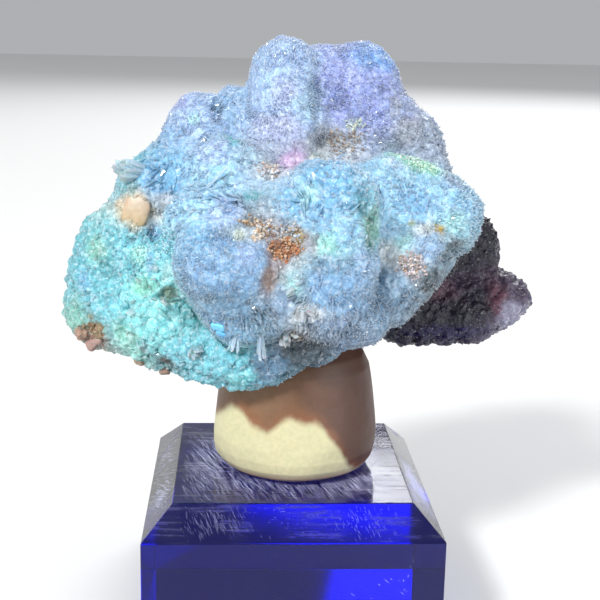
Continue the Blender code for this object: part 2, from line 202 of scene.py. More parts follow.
# The crystal balls: centre and radii in mm out to the needles' tips, the habit of the
# crystals, and, where it isn't the centre, the eye that they radiate from, in radii from it
crystalBalls = {
    "coreMiddle": ((-1.0, 3.0, 51.0), (17.0, 14.0, 11.0), "clump"),
    "coreLow": ((-2.0, 4.0, 43.0), (14.0, 12.0, 8.0), "fine"),
    "coreLeft": ((-16.0, 3.0, 47.0), (11.0, 10.0, 8.5), "fine"),
    "coreRight": ((13.0, 6.0, 50.0), (11.0, 11.0, 9.0), "fine"),
    "coreTop": ((3.0, 8.0, 61.5), (11.0, 9.0, 8.0), "fine"),
    "crownLeft": ((-1.2, 3.0, 69.0), (5.1, 5.6, 7.8), "fine", (0, -0.45, -0.05)),
    "crownLeftFoot": ((-1.0, 2.0, 64.5), (5.3, 5.5, 6.0), "fine", (0, -0.3, 0.3)),
    "crownSaddle": ((4.0, 6.0, 71.0), (3.8, 4.5, 4.8), "fine", (0, -0.2, 0)),
    "crownRight": ((7.5, 7.0, 69.0), (5.0, 5.6, 6.4), "fine", (-0.1, -0.3, 0)),
    "crownCorner": ((10.2, 8.0, 70.0), (4.6, 5.0, 5.8), "fine", (0, -0.2, 0)),
    "crownRightFoot": ((12.0, 7.0, 64.5), (5.0, 5.0, 5.2), "fine", (0, -0.2, 0)),
    "leftBall": ((-12.8, 3.0, 65.2), (3.9, 4.2, 4.2), "fine", (0, -0.3, 0)),
    "leftBallSmall": ((-8.2, 5.0, 65.8), (2.8, 3.5, 3.8), "fine", (0, -0.2, 0)),
    "leftBallFoot": ((-12.2, 2.0, 61.0), (5.4, 5.0, 5.2), "fine", (0, -0.3, 0)),
    "shoulder": ((-9.0, -4.0, 59.5), (5.5, 5.0, 4.5), "fan", (0.3, -0.3, 0.3)),
    "shoulderLeft": ((-16.5, 1.0, 57.5), (5.5, 5.5, 5.0), "clump", (0.4, -0.4, 0.2)),
    "shoulderEdge": ((-19.5, 2.0, 55.5), (4.0, 5.0, 4.0), "clump", (0.4, -0.2, 0.2)),
    "leftLobeTop": ((-22.5, 0.0, 48.6), (6.0, 6.0, 5.6), "nubby"),
    "leftLobe": ((-24.6, 0.0, 43.6), (5.7, 6.0, 6.0), "nubby"),
    "leftLobeFoot": ((-23.7, -1.0, 39.2), (6.0, 6.0, 4.0), "nubby"),
    "leftMid": ((-17.0, -5.0, 42.0), (7.0, 6.0, 6.0), "blocky"),
    "leftLow": ((-15.0, -5.0, 37.6), (6.5, 6.0, 4.2), "nubby"),
    "lipLeft": ((-9.5, -8.0, 36.8), (5.2, 5.0, 3.8), "blocky", (0, 0, 0.3)),
    "lip": ((-5.0, -9.0, 36.0), (5.0, 4.5, 3.8), "blocky", (0, 0, 0.3)),
    "lipRight": ((1.5, -9.0, 39.0), (5.0, 4.5, 3.6), "blocky"),
    "rustBed": ((-2.8, -10.5, 52.0), (4.6, 5.0, 5.2), "clump"),
    "frontBall": ((-9.5, -15.0, 49.5), (6.0, 5.0, 5.4), "velvet", (0.1, -0.55, 0.1)),
    "frontBallFoot": ((-6.5, -14.0, 44.0), (5.5, 4.5, 4.5), "fan", (-0.2, -0.6, 0.9)),
    "plate": ((-10.0, -10.0, 55.0), (6.5, 5.0, 4.0), "clump", (0.6, -0.5, 0.3)),
    "rightFrontBall": ((3.5, -11.0, 56.0), (6.5, 6.0, 6.2), "clump", (0.1, -0.5, -0.2)),
    "rightFrontFoot": ((4.5, -12.0, 50.0), (5.5, 5.0, 5.0), "fan", (0, -0.4, 0)),
    "lowBall": ((3.0, -13.0, 45.0), (6.0, 5.0, 5.8), "fan", (0, -0.5, 0.5)),
    "lowRight": ((8.0, -10.0, 42.3), (4.5, 4.5, 3.9), "fine", (0, -0.3, 0)),
    "rightLobe": ((17.2, -3.0, 54.0), (7.7, 7.0, 6.5), "fan", (-0.1, -0.55, -0.1)),
    "rightLobeInner": ((12.0, -4.0, 57.0), (5.5, 6.0, 5.0), "fan", (0.5, -0.5, -0.3)),
    "rightPink": ((14.5, -5.0, 47.0), (5.0, 5.0, 4.8), "clump"),
    "rightUnder": ((11.5, -3.0, 43.2), (4.5, 4.5, 3.8), "clump"),
    "ridgeTop": ((15.4, 8.0, 64.2), (3.2, 4.0, 3.2), "clump"),
    "ridge": ((17.6, 8.0, 61.5), (3.4, 4.5, 3.8), "clump"),
    "ridgeLow": ((18.0, 6.0, 57.5), (3.6, 4.5, 3.6), "clump"),
    "shadowLobe": ((25.2, 8.0, 48.0), (4.4, 5.0, 5.0), "nubby"),
    "footNeck": ((17.5, 9.0, 43.0), (7.0, 6.5, 5.5), "nubby"),
    "footLobe": ((18.5, 7.0, 38.2), (8.0, 6.0, 4.3), "nubby"),
    "footLobeMid": ((25.5, 7.0, 38.8), (6.2, 5.5, 4.2), "nubby"),
    "footLobeTip": ((30.8, 7.0, 41.0), (3.5, 4.0, 3.3), "nubby"),
    "rearTop": ((5.0, 14.0, 63.0), (8.0, 6.5, 6.5), "fine", (0, 0.3, 0.1)),
    "rearTopLeft": ((-7.0, 12.0, 59.0), (7.5, 7.0, 6.0), "fine", (0, 0.3, 0)),
    "rearLeft": ((-18.0, 10.0, 49.5), (7.5, 7.5, 6.5), "nubby"),
    "rearLeftLow": ((-14.0, 10.0, 41.5), (7.5, 7.0, 5.5), "nubby"),
    "rearMiddle": ((-3.0, 17.0, 51.0), (7.5, 6.0, 7.5), "fan", (0, 0.45, 0)),
    "rearMiddleLow": ((3.0, 15.0, 42.5), (7.5, 6.5, 5.5), "nubby"),
    "rearRight": ((12.0, 16.0, 54.0), (7.5, 6.5, 6.5), "fine", (0, 0.35, 0)),
    "rearRightLow": ((15.0, 14.0, 45.0), (8.0, 6.5, 5.5), "nubby"),
}

# How the crystals of a ball grow, in mm: the gap between tips, width, length, size of the
# bundles that they lie in, how far a bundle's middle stands out, unevenness of the tips,
# how far they stray (radians), the share of the way that they lean towards their bundle,
# how deep the skin lies under the tips, how far apart its surface and the next ball's still
# melt together, and the skin's lobes, cobbles and facets, each by size and height
habits = {
    "fine": {"gap": 0.33, "width": 0.36, "length": 2.0, "bundle": 1.0, "dome": 0.12,
             "uneven": 0.07, "stray": 0.09, "lean": 0.35, "skin": 0.12, "melt": 2.4,
             "lobes": (3.0, 0.10), "cobbles": (1.3, 0.12), "facets": (0.8, 0.05)},
    "velvet": {"gap": 0.32, "width": 0.34, "length": 2.0, "bundle": 0.8, "dome": 0.08,
               "uneven": 0.06, "stray": 0.05, "lean": 0.25, "skin": 0.09, "melt": 3.2,
               "lobes": (3.0, 0.06), "cobbles": (1.6, 0.10), "facets": (1.0, 0.05)},
    "fan": {"gap": 0.44, "width": 0.46, "length": 3.0, "bundle": 1.4, "dome": 0.20,
            "uneven": 0.12, "stray": 0.10, "lean": 0.45, "skin": 0.14, "melt": 3.4,
            "lobes": (3.0, 0.15), "cobbles": (1.8, 0.25), "facets": (1.1, 0.10)},
    "clump": {"gap": 0.66, "width": 0.62, "length": 2.0, "bundle": 1.7, "dome": 0.20,
              "uneven": 0.15, "stray": 0.36, "lean": 0.3, "skin": 0.10, "melt": 3.6,
              "lobes": (3.0, 0.25), "cobbles": (1.5, 0.30), "facets": (1.0, 0.22)},
    "nubby": {"gap": 1.05, "width": 0.60, "length": 1.4, "bundle": 1.6, "dome": 0.08,
              "uneven": 0.09, "stray": 0.40, "lean": 0.4, "skin": -0.04, "melt": 3.2,
              "lobes": (2.9, 0.45), "cobbles": (1.25, 0.50), "facets": (1.0, 0.20)},
    "blocky": {"gap": 1.30, "width": 1.00, "length": 2.0, "bundle": 2.4, "dome": 0.10,
               "uneven": 0.14, "stray": 0.55, "lean": 0.4, "skin": 0.02, "melt": 3.2,
               "lobes": (3.2, 0.35), "cobbles": (1.7, 0.50), "facets": (1.3, 0.38)},
}

ballNames = list(crystalBalls)
ballCentres = np.array([crystalBalls[name][0] for name in ballNames])
ballRadii = np.array([crystalBalls[name][1] for name in ballNames])
eyeShares = [(*crystalBalls[name], (0, 0, 0))[3] for name in ballNames]
ballEyes = ballCentres + ballRadii * np.array(eyeShares)
ballHabits = [habits[crystalBalls[name][2]] for name in ballNames]
ballMelts = np.array([habit["melt"] for habit in ballHabits])


def ballDistances(points):
    # A column for each ball: about how far each point lies outside its ellipsoid, in mm
    columns = []
    for centre, radii in zip(ballCentres, ballRadii):
        share = (points - centre) / radii
        size = np.linalg.norm(share, axis=1)
        slope = np.maximum(np.linalg.norm(share / radii, axis=1), 1e-9)
        columns.append(size * (size - 1.0) / slope)
    return np.stack(columns, axis=1)


def skinDistance(points):
    # The least of the balls' distances, less a smooth fillet where two are nearly equal
    columns = ballDistances(points)
    total = columns[:, 0]
    for column, reach in zip(columns.T[1:], ballMelts[1:]):
        melt = np.maximum(reach - np.abs(total - column), 0.0) / reach
        total = np.minimum(total, column) - melt * melt * reach * 0.25
    return total


def skinSlope(points, away):
    # How fast the distance grows along the three axes, by forward differences. It is 1 long
    # over a ball and shorter in a groove between two.
    step = 0.05    # mm
    parts = [skinDistance(points + step * axis) - away for axis in np.eye(3)]
    return np.stack(parts, axis=1) / step


# The specimen's colours, 0 to 255 for red, green and blue; navy, violet, plum and wine serve as
# painted shade on the foot and under the right lobe
creediteColours = {
    "ice": (232, 238, 240), "frostBlue": (184, 214, 240), "sky": (162, 206, 238),
    "skyDeep": (126, 174, 212), "cornflower": (116, 160, 220), "periwinkle": (170, 196, 238),
    "lavender": (158, 169, 222), "lavenderPale": (186, 194, 226), "lavenderGrey": (148, 160, 196),
    "slate": (130, 152, 178), "slateDeep": (108, 138, 164), "greyBlue": (158, 170, 190),
    "steel": (130, 166, 202), "steelPale": (158, 188, 220), "aquaPale": (190, 238, 240),
    "aqua": (150, 220, 223), "aquaDeep": (130, 194, 208), "teal": (112, 170, 182),
    "tealDeep": (84, 144, 150), "mint": (170, 229, 219), "mintGreen": (155, 218, 192),
    "moss": (134, 182, 166), "cream": (222, 232, 212), "straw": (184, 197, 159),
    "tan": (200, 178, 148), "ochre": (145, 120, 64), "gold": (178, 155, 94),
    "rust": (146, 115, 98), "olive": (124, 118, 80), "umber": (110, 94, 78),
    "umberDark": (66, 47, 30), "stone": (150, 154, 164), "stoneDark": (110, 118, 124),
    "pearl": (200, 206, 214), "plum": (68, 56, 76), "navy": (20, 16, 32), "violet": (23, 18, 62),
    "wine": (104, 66, 80), "ash": (146, 145, 168), "shadow": (76, 88, 96),
    "pink": (212, 188, 222),
}

# Colours over the cluster: the middle and the reach of each patch in mm, the name of its
# colour, and how strongly it covers the ones before it (0 to 1)
colourPatches = {
    "rearLilac": ((-6, 19, 60), (9, 6, 8), "lavender", 0.8),
    "rearAqua": ((-17, 15, 46), (10, 7, 9), "aqua", 0.9),
    "rearTan": ((6, 20, 45), (6, 5, 4), "tan", 0.85),
    "rearRust": ((9, 20, 43), (2.5, 4, 2), "rust", 0.8),
    "rearGrey": ((17, 18, 46), (6, 6, 5), "ash", 0.8),
    "rearSky": ((2, 20, 53), (6, 5, 5), "steelPale", 0.7),
    "rearMint": ((-9, 18, 53), (3, 4, 3), "mint", 0.7),
    # Painted shade carried round the back of the foot
    "footBack": ((24, 10, 39), (11, 6, 6), "plum", 0.9),
    "crownLeft": ((-1.6, -2.2, 71.1), (5.2, 6.4, 6.5), "periwinkle", 1.0),
    "crownRight": ((9.3, 1.8, 70.1), (5.9, 6.1, 6.1), "lavender", 1.0),
    "crownIce": ((-1.6, -0.8, 74.5), (3.9, 4.3, 3.1), "periwinkle", 0.9),
    "crownRose": ((-4.4, 0.9, 73.9), (1.1, 2.7, 1.8), "steelPale", 0.6),
    "crownBlue": ((1.1, -1.9, 68.3), (1.6, 2.9, 2.1), "frostBlue", 0.7),
    "crownPale": ((-1.5, -2.3, 69.6), (1.8, 2.9, 2.1), "lavenderPale", 0.7),
    "crownLow": ((-1.9, -3.1, 65.1), (3.5, 4.0, 1.9), "lavenderPale", 0.85),
    "crownFoot": ((-3, -2.3, 62.2), (2.6, 3.3, 1.2), "greyBlue", 0.8),
    "crownSeam": ((2.6, -0.7, 69.6), (0.8, 5.8, 5.8), "frostBlue", 0.5),
    "crownPink": ((4.9, 1.8, 72), (1.9, 2.9, 2.1), "lavender", 0.75),
    "crownTopBlue": ((10.8, 4.2, 73.9), (4.1, 4.5, 1.8), "cornflower", 0.8),
    "crownLavender": ((7.5, 1.8, 67.7), (3.2, 3.8, 1.9), "lavender", 0.6),
    "crownSide": ((13.9, 3.3, 66.9), (1.8, 3.4, 2.7), "lavenderGrey", 0.85),
    "ridgeBeige": ((13.5, 4.5, 67.5), (1.0, 2.5, 1.6), "stone", 0.7),
    "ridgeGrey": ((14.7, 3.1, 64.6), (2.2, 2.9, 1.6), "stone", 0.7),
    "ridgePink": ((18.5, 4.4, 62.9), (1.5, 2.7, 1.9), "greyBlue", 0.9),
    "ridgeMoss": ((14.4, -3.7, 61.7), (1.4, 2.3, 1.2), "mintGreen", 0.8),
    "ridgeGreen": ((16.5, -4.7, 60.8), (1.7, 2.5, 1.0), "mintGreen", 0.95),
    "cavityGrey": ((2.9, -1.5, 64), (1.7, 2.6, 1.2), "stone", 0.8),
    "cavityBrown": ((6.6, -0.1, 63.2), (2.5, 3.2, 1.6), "pearl", 0.85),
    "cavityBeige": ((5.4, -0.4, 63), (0.9, 1.9, 0.7), "ice", 0.8),
    "cavityCream": ((7.6, 1.6, 65.4), (1.3, 2.3, 0.7), "greyBlue", 0.8),
    "pinkPatch": ((-0.5, -2.9, 61), (1.9, 2.8, 1.0), "pink", 0.85),
    "creamStreak": ((2.3, -1.4, 61.3), (0.4, 1.8, 0.8), "cream", 1.0),
    "peachGrains": ((-3.9, -6.3, 60), (1.6, 2.5, 0.9), "ice", 0.8),
    "leftBall": ((-13.3, -0.4, 66.7), (3.4, 3.9, 3.4), "periwinkle", 1.0),
    "leftBallRose": ((-15, 1.3, 68.1), (1.1, 2.2, 1.2), "lavender", 0.7),
    "leftBallPale": ((-13.2, -1.1, 66.1), (0.9, 1.9, 0.8), "aquaPale", 0.7),
    "leftBallLow": ((-15.1, -0.6, 64.2), (1.8, 2.7, 1.3), "steel", 0.8),
    "leftGap": ((-10.2, 1.5, 67.7), (0.7, 2.0, 1.1), "sky", 0.5),
    "leftSmall": ((-8.2, 2.1, 67.1), (1.7, 2.7, 1.9), "steelPale", 0.9),
    "tealShade": ((-8.2, -5, 63.6), (1.1, 2.3, 1.4), "teal", 0.7),
    "lilacPatch": ((-10.6, -7, 62.6), (1.6, 2.6, 1.8), "periwinkle", 0.8),
    "shoulderIce": ((-6.4, -7, 62), (1.9, 2.7, 1.1), "frostBlue", 0.85),
    "shoulderBlue": ((-16.9, -3.8, 58.6), (3.9, 4.3, 2.8), "skyDeep", 0.95),
    "shoulderLilac": ((-12.7, -7.6, 58.9), (1.8, 2.6, 1.5), "sky", 0.7),
    "shoulderStreak": ((-9.3, -10, 59), (2.5, 3.2, 1.7), "sky", 0.85),
    "shoulderEdge": ((-21.2, -0.9, 58.9), (1.8, 2.7, 1.8), "aquaDeep", 0.85),
    "shoulderGreen": ((-21.2, -2.6, 56.8), (1.3, 2.2, 1.3), "teal", 0.8),
    "plateAqua": ((-13.3, -14.1, 55.6), (2.9, 3.5, 2.4), "sky", 0.9),
    "plateMint": ((-11.4, -14.2, 57), (1.2, 2.2, 1.0), "sky", 0.7),
    "plateLilac": ((-9.2, -14.7, 56.2), (1.8, 2.6, 1.6), "periwinkle", 0.8),
    "plateTeal": ((-6.3, -9.8, 58.3), (1.7, 2.6, 1.4), "frostBlue", 0.8),
    "plateDark": ((-5.7, -12.3, 57.5), (0.9, 1.9, 0.7), "teal", 0.6),
    "leftAqua": ((-21.5, -7.3, 46.6), (8.5, 6.5, 8.5), "aquaDeep", 1.0),
    "leftEdge": ((-27.6, -4.2, 47.6), (1.8, 6.5, 7.9), "teal", 0.7),
    "leftMid": ((-18.2, -10.4, 44.1), (4.3, 6.2, 6.3), "aqua", 0.85),
    "leftTeal": ((-23.8, -6.2, 47.3), (1.5, 2.4, 1.3), "tealDeep", 0.7),
    "leftGreen": ((-25.2, -5.3, 49.5), (1.8, 2.7, 1.6), "moss", 0.85),
    "leftSky": ((-26.9, -5.3, 45.5), (1.0, 2.2, 1.3), "skyDeep", 0.6),
    "leftMintHigh": ((-19.7, -6.6, 49), (1.4, 2.3, 1.3), "mint", 0.85),
    "leftMintRight": ((-16.1, -8.2, 47.3), (1.1, 2.4, 1.5), "aquaPale", 0.85),
    "leftBlueStrip": ((-18.4, -7.1, 48.3), (0.6, 2.4, 1.5), "skyDeep", 0.7),
    "leftGroove": ((-18, -4.9, 52.1), (0.8, 2.1, 1.2), "skyDeep", 0.8),
    "leftIce": ((-18.6, -3.7, 53.7), (1.3, 2.2, 1.3), "ice", 0.8),
    "tanPlate": ((-20.4, -3.4, 54.1), (2.2, 3.0, 2.4), "tan", 0.9),
    "tanArm": ((-16.8, -4.0, 56.0), (1.7, 2.5, 1.0), "pearl", 0.8),
    "leftStraw": ((-19.1, -9.4, 45.7), (1.5, 2.4, 1.1), "mintGreen", 0.7),
    "leftBright": ((-17.4, -10.9, 41.7), (2.5, 3.2, 2.3), "aqua", 0.8),
    "leftCream": ((-21.6, -8.7, 39.4), (1.8, 2.6, 1.5), "moss", 0.8),
    "leftStrawLow": ((-21.4, -8.6, 37.2), (2.1, 2.8, 0.9), "mint", 0.8),
    "leftRind": ((-28.1, -5.2, 40.5), (1.2, 3.3, 2.6), "moss", 0.6),
    "leftTan": ((-26.3, -6.5, 40.9), (0.5, 1.6, 0.5), "olive", 0.9),
    "leftBrown": ((-25.9, -6.5, 39.1), (1.3, 2.2, 0.8), "olive", 0.95),
    "leftBrownPink": ((-25.7, -6.3, 37.7), (1.6, 2.5, 0.8), "rust", 1.0),
    "lowBrown": ((-19.4, -10.2, 37.5), (0.6, 1.7, 0.5), "shadow", 0.9),
    "lowBrownRight": ((-16.5, -10.5, 36), (0.8, 1.8, 0.6), "umberDark", 0.9),
    "lowSky": ((-13.7, -11.4, 38.3), (1.6, 2.6, 1.8), "aquaDeep", 0.85),
    "lowBlue": ((-15.2, -11.2, 36.9), (1.1, 2.1, 0.8), "aquaDeep", 0.8),
    "lip": ((-8.8, -13.5, 36.5), (4.2, 4.6, 2.5), "aquaDeep", 0.95),
    "lipPale": ((-6.9, -13, 34.9), (2.3, 3.0, 0.9), "aqua", 0.6),
    "lipShade": ((-7.4, -12.8, 38.4), (1.1, 2.1, 0.7), "tealDeep", 0.7),
    "pit": ((-15.8, -10.3, 44.9), (1.3, 2.2, 0.8), "olive", 1.0),
    "frontBall": ((-9.2, -19.8, 50.7), (5.6, 5.7, 4.4), "steel", 1.0),
    "frontBallSky": ((-12.2, -17.7, 53.1), (1.9, 2.7, 1.4), "skyDeep", 0.7),
    "frontBallPale": ((-6.4, -18.6, 51.9), (1.4, 2.3, 1.4), "periwinkle", 0.7),
    "frontBallSpot": ((-8.6, -19.3, 51.9), (0.6, 1.7, 0.5), "slateDeep", 0.8),
    # Painted shade: the front ball's lower side and the hollow under it are laid in deep slate
    "frontBallLowShade": ((-9.1, -19.1, 46.3), (4.0, 4.4, 1.4), "slateDeep", 0.9),
    "frontShade": ((-7.5, -18.5, 44.2), (4.0, 4.4, 1.7), "slateDeep", 0.85),
    "frontTeal": ((-12.3, -9.5, 42.2), (1.5, 2.4, 1.3), "tealDeep", 0.8),
    "frontFringe": ((-7, -17.2, 41.7), (1.9, 2.7, 1.2), "sky", 0.8),
    "chip": ((-9.3, -17.4, 42.7), (0.7, 1.8, 0.7), "steel", 1.0),
    "rustShade": ((-3.8, -16.7, 48.5), (0.8, 2.5, 1.7), "rust", 0.7),
    "rustBed": ((-2.5, -14.9, 53.7), (2.9, 3.5, 1.4), "stone", 0.75),
    "rust": ((-1.9, -15.2, 51.6), (2.2, 2.9, 1.3), "rust", 1.0),
    "rustOrange": ((-0.1, -15.5, 53.4), (0.6, 2.0, 1.0), "ochre", 0.9),
    "rustUpper": ((-6.4, -14.3, 54.9), (1.1, 2.1, 0.7), "stoneDark", 0.9),
    "rustLink": ((-4.5, -14.4, 53.8), (1.2, 2.2, 0.8), "stone", 0.8),
    "beigeGrains": ((-5.4, -15.6, 53.4), (0.7, 1.8, 0.6), "pearl", 0.9),
    "creamGreen": ((-7.2, -17.1, 53.8), (0.7, 1.8, 0.5), "cream", 0.8),
    "greyBeige": ((1.4, -15.8, 52.3), (0.8, 2.1, 1.1), "stone", 0.8),
    "centreAqua": ((2.3, -15.7, 58.3), (4.8, 5.0, 3.6), "skyDeep", 0.9),
    "centreMint": ((1, -15.5, 58.4), (1.4, 2.3, 1.0), "aquaPale", 0.6),
    "centreMintLeft": ((-1, -12.4, 59.9), (1.5, 2.4, 1.0), "frostBlue", 0.6),
    "centreBlue": ((2.1, -17.1, 55.3), (1.7, 2.5, 1.4), "sky", 0.7),
    "centrePale": ((5.3, -16.6, 54.9), (1.7, 2.5, 1.7), "sky", 0.8),
    "mint": ((3.4, -16.3, 52.9), (1.0, 2.2, 1.3), "mint", 0.9),
    "centreGrey": ((4, -17, 49.8), (1.7, 2.5, 1.2), "slateDeep", 0.8),
    "skyShell": ((3.3, -17.5, 46.9), (1.8, 2.8, 2.0), "steel", 0.9),
    "shell": ((8.1, -15.1, 50.7), (1.6, 2.5, 1.6), "steelPale", 0.9),
    "shellRose": ((6.1, -16.8, 47.1), (1.7, 3.3, 2.6), "steel", 0.8),
    "whiteBlock": ((-0.6, -16.7, 47.1), (1.0, 2.0, 0.7), "aquaPale", 0.8),
    "lowBallGrey": ((-1.6, -16.4, 45.7), (1.9, 2.7, 1.7), "slate", 0.8),
    "clearRound": ((1.1, -17.5, 44), (1.4, 2.3, 1.0), "ice", 0.8),
    "lowBallRight": ((4.4, -17.2, 42.9), (3.1, 3.7, 1.4), "slate", 0.9),
    "lowEdge": ((6.5, -14.6, 40.9), (2.5, 3.2, 1.2), "slate", 0.8),
    "lowDark": ((0.5, -13.8, 38.7), (3.7, 4.2, 1.5), "shadow", 0.95),
    "lowDarkBrown": ((-0.1, -14.5, 40.6), (1.1, 2.1, 0.6), "umber", 0.8),
    "lowGrey": ((-3.5, -13.3, 36.5), (2.2, 3.0, 1.5), "slateDeep", 0.9),
    "valley": ((8.8, -13.5, 53.8), (0.9, 3.3, 2.7), "moss", 0.8),
    "valleyHigh": ((7.3, -15.9, 57.2), (0.8, 2.2, 1.2), "teal", 0.6),
    "rightPale": ((10.2, -7.3, 60.1), (2.8, 3.4, 2.0), "sky", 0.95),
    "rightLilac": ((12.1, -6.3, 61.3), (1.1, 2.1, 0.9), "frostBlue", 0.8),
    "rightAqua": ((12.6, -9.5, 55.7), (3.0, 3.6, 2.8), "sky", 0.95),
    "rightBlue": ((15.3, -9.4, 56.4), (2.3, 3.0, 1.8), "skyDeep", 0.8),
    "rightRim": ((19.9, -8.5, 56.3), (3.8, 4.3, 3.8), "sky", 1.0),
    "rightRimLilac": ((19.8, -6.2, 58.9), (1.5, 2.4, 0.8), "slate", 0.8),
    "rightSky": ((20.1, -9.1, 54.2), (2.0, 2.8, 1.5), "aquaPale", 0.85),
    "rightFoot": ((16.6, -9.1, 51.1), (1.8, 2.6, 1.5), "steelPale", 0.9),
    "rightRose": ((16.1, -9.6, 53.4), (1.1, 2.1, 0.8), "ice", 0.8),
    "rightOrange": ((18, -9.9, 53.3), (0.6, 1.7, 0.6), "gold", 1.0),
    "rightTan": ((14.4, -9.6, 54.2), (0.5, 1.6, 0.5), "straw", 0.9),
    "rightMint": ((13.6, -8.5, 51.5), (1.3, 2.2, 1.0), "aquaPale", 0.5),
    "hairStreak": ((12.2, -8.2, 49.6), (1.3, 2.6, 1.8), "ice", 0.7),
    "speckPatch": ((14.7, -9.8, 48.6), (1.6, 2.6, 1.8), "stone", 0.95),
    "speckTan": ((13.7, -9, 48.8), (0.4, 1.6, 0.5), "olive", 0.9),
    "speckTanLow": ((15, -9.9, 47.8), (0.5, 1.6, 0.5), "umber", 0.9),
    "greyRight": ((11.6, -10.8, 44.5), (3.0, 3.6, 3.0), "slateDeep", 0.95),
    "greyRose": ((12.6, -9.5, 46), (1.3, 2.6, 1.8), "frostBlue", 0.7),
    "needleRight": ((17.1, -8.8, 46.9), (1.3, 2.6, 1.8), "shadow", 0.85),
    # Painted shade: the underside of the right lobe and the foot under it, turned from the key
    # light, are laid in shadow, navy, violet, plum and wine; the foot's tip, where the light
    # reaches, stays pale
    "underLobeShade": ((21.9, 1.7, 46.7), (2.2, 3.0, 2.2), "navy", 0.95),
    "underDark": ((20.1, -8.3, 51.1), (1.3, 2.2, 0.6), "shadow", 0.9),
    "underRed": ((21.1, 2.1, 41.7), (1.7, 2.5, 1.0), "wine", 0.9),
    "backShadeHigh": ((27.7, 5.4, 51.1), (1.1, 2.6, 1.7), "navy", 0.9),
    "backShadeLow": ((27.1, 3.5, 48.3), (1.7, 2.8, 2.0), "navy", 0.95),
    "footNavy": ((20.5, 1.2, 39.2), (7.2, 6.5, 3.6), "navy", 1.0),
    "footLilac": ((22, 1.3, 37), (6.1, 6.1, 1.1), "violet", 0.85),
    "footMaroon": ((26.5, 2.8, 41.4), (2.0, 2.8, 2.0), "navy", 0.9),
    "footRed": ((28.4, 2.9, 41.7), (1.4, 2.6, 1.7), "wine", 0.9),
    "footTip": ((30.6, 2.8, 39.7), (1.7, 2.7, 1.8), "ash", 0.95),
    "footTipGrey": ((32, 3.6, 42), (1.4, 2.3, 1.3), "plum", 0.85),
}
colourWander = {"coarse": (2.2, 0.75), "fine": (0.8, 0.45)}    # mm: size and shift of the noise
colourMottle = {"size": 0.9, "bright": 0.05, "warm": 0.03, "green": 0.025}
colourLift = 0.94       # power over the colours: light is lost between the crystals
colourVivid = 1.22      # how far each colour is drawn away from its grey


def wander(points):
    # The shift that ravels the patches' borders: noise of two sizes along each axis
    shift = np.zeros_like(points)
    for order, (size, amount) in enumerate(colourWander.values()):
        for axis in range(3):
            seedHere = noiseSeeds["wander"] + 3 * order + axis
            shift[:, axis] += amount * steadyNoise(points, size, seedHere)
    return shift


def patchMask(points, shift, middle, reach, inner=0.4, outer=1.5):
    # 1 within the inner share of a patch's reach, 0 beyond the outer, a smooth step between
    size = min(1.0, min(reach) / 2.0)
    away = np.linalg.norm((points + shift * size - np.array(middle)) / np.array(reach), axis=1)
    step = np.clip((outer - away) / (outer - inner), 0.0, 1.0)
    return step * step * (3 - 2 * step)


def groundColours(points):
    # Under the patches: their colours' average, each weighed by its area over the fourth
    # power of its distance
    total = np.zeros((len(points), 3))
    weights = np.zeros((len(points), 1))
    for middle, reach, colour, cover in colourPatches.values():
        away = np.sum((points - np.array(middle)) ** 2, axis=1, keepdims=True)
        weight = cover * min(reach) * max(reach) / (away + 1.5) ** 2
        total += weight * linearColour(creediteColours[colour])
        weights += weight
    return total / weights


def patchColours(points):
    # The patches laid over each other in turn, drawn away from their grey, mottled by noise
    # in brightness and hue, and lifted by a power
    shift = wander(points)
    colours = groundColours(points + shift)
    for middle, reach, colour, cover in colourPatches.values():
        mask = cover * patchMask(points, shift, middle, reach)[:, None]
        colours = colours * (1 - mask) + linearColour(creediteColours[colour]) * mask
    size = colourMottle["size"]
    bright = 1 + colourMottle["bright"] * steadyNoise(points, size, noiseSeeds["bright"])
    bright += colourMottle["bright"] * steadyNoise(points, size * 0.45, noiseSeeds["brightFine"])
    warm = colourMottle["warm"] * steadyNoise(points, size * 1.7, noiseSeeds["warm"])
    green = colourMottle["green"] * steadyNoise(points, size * 1.3, noiseSeeds["green"])
    hue = np.stack([1 + warm, 1 + green, 1 - warm], axis=1)
    grey = colours @ np.array([[0.21], [0.72], [0.07]])
    colours = (grey + (colours - grey) * colourVivid) * bright[:, None] * hue
    return np.clip(colours, 0.002, 0.88) ** colourLift


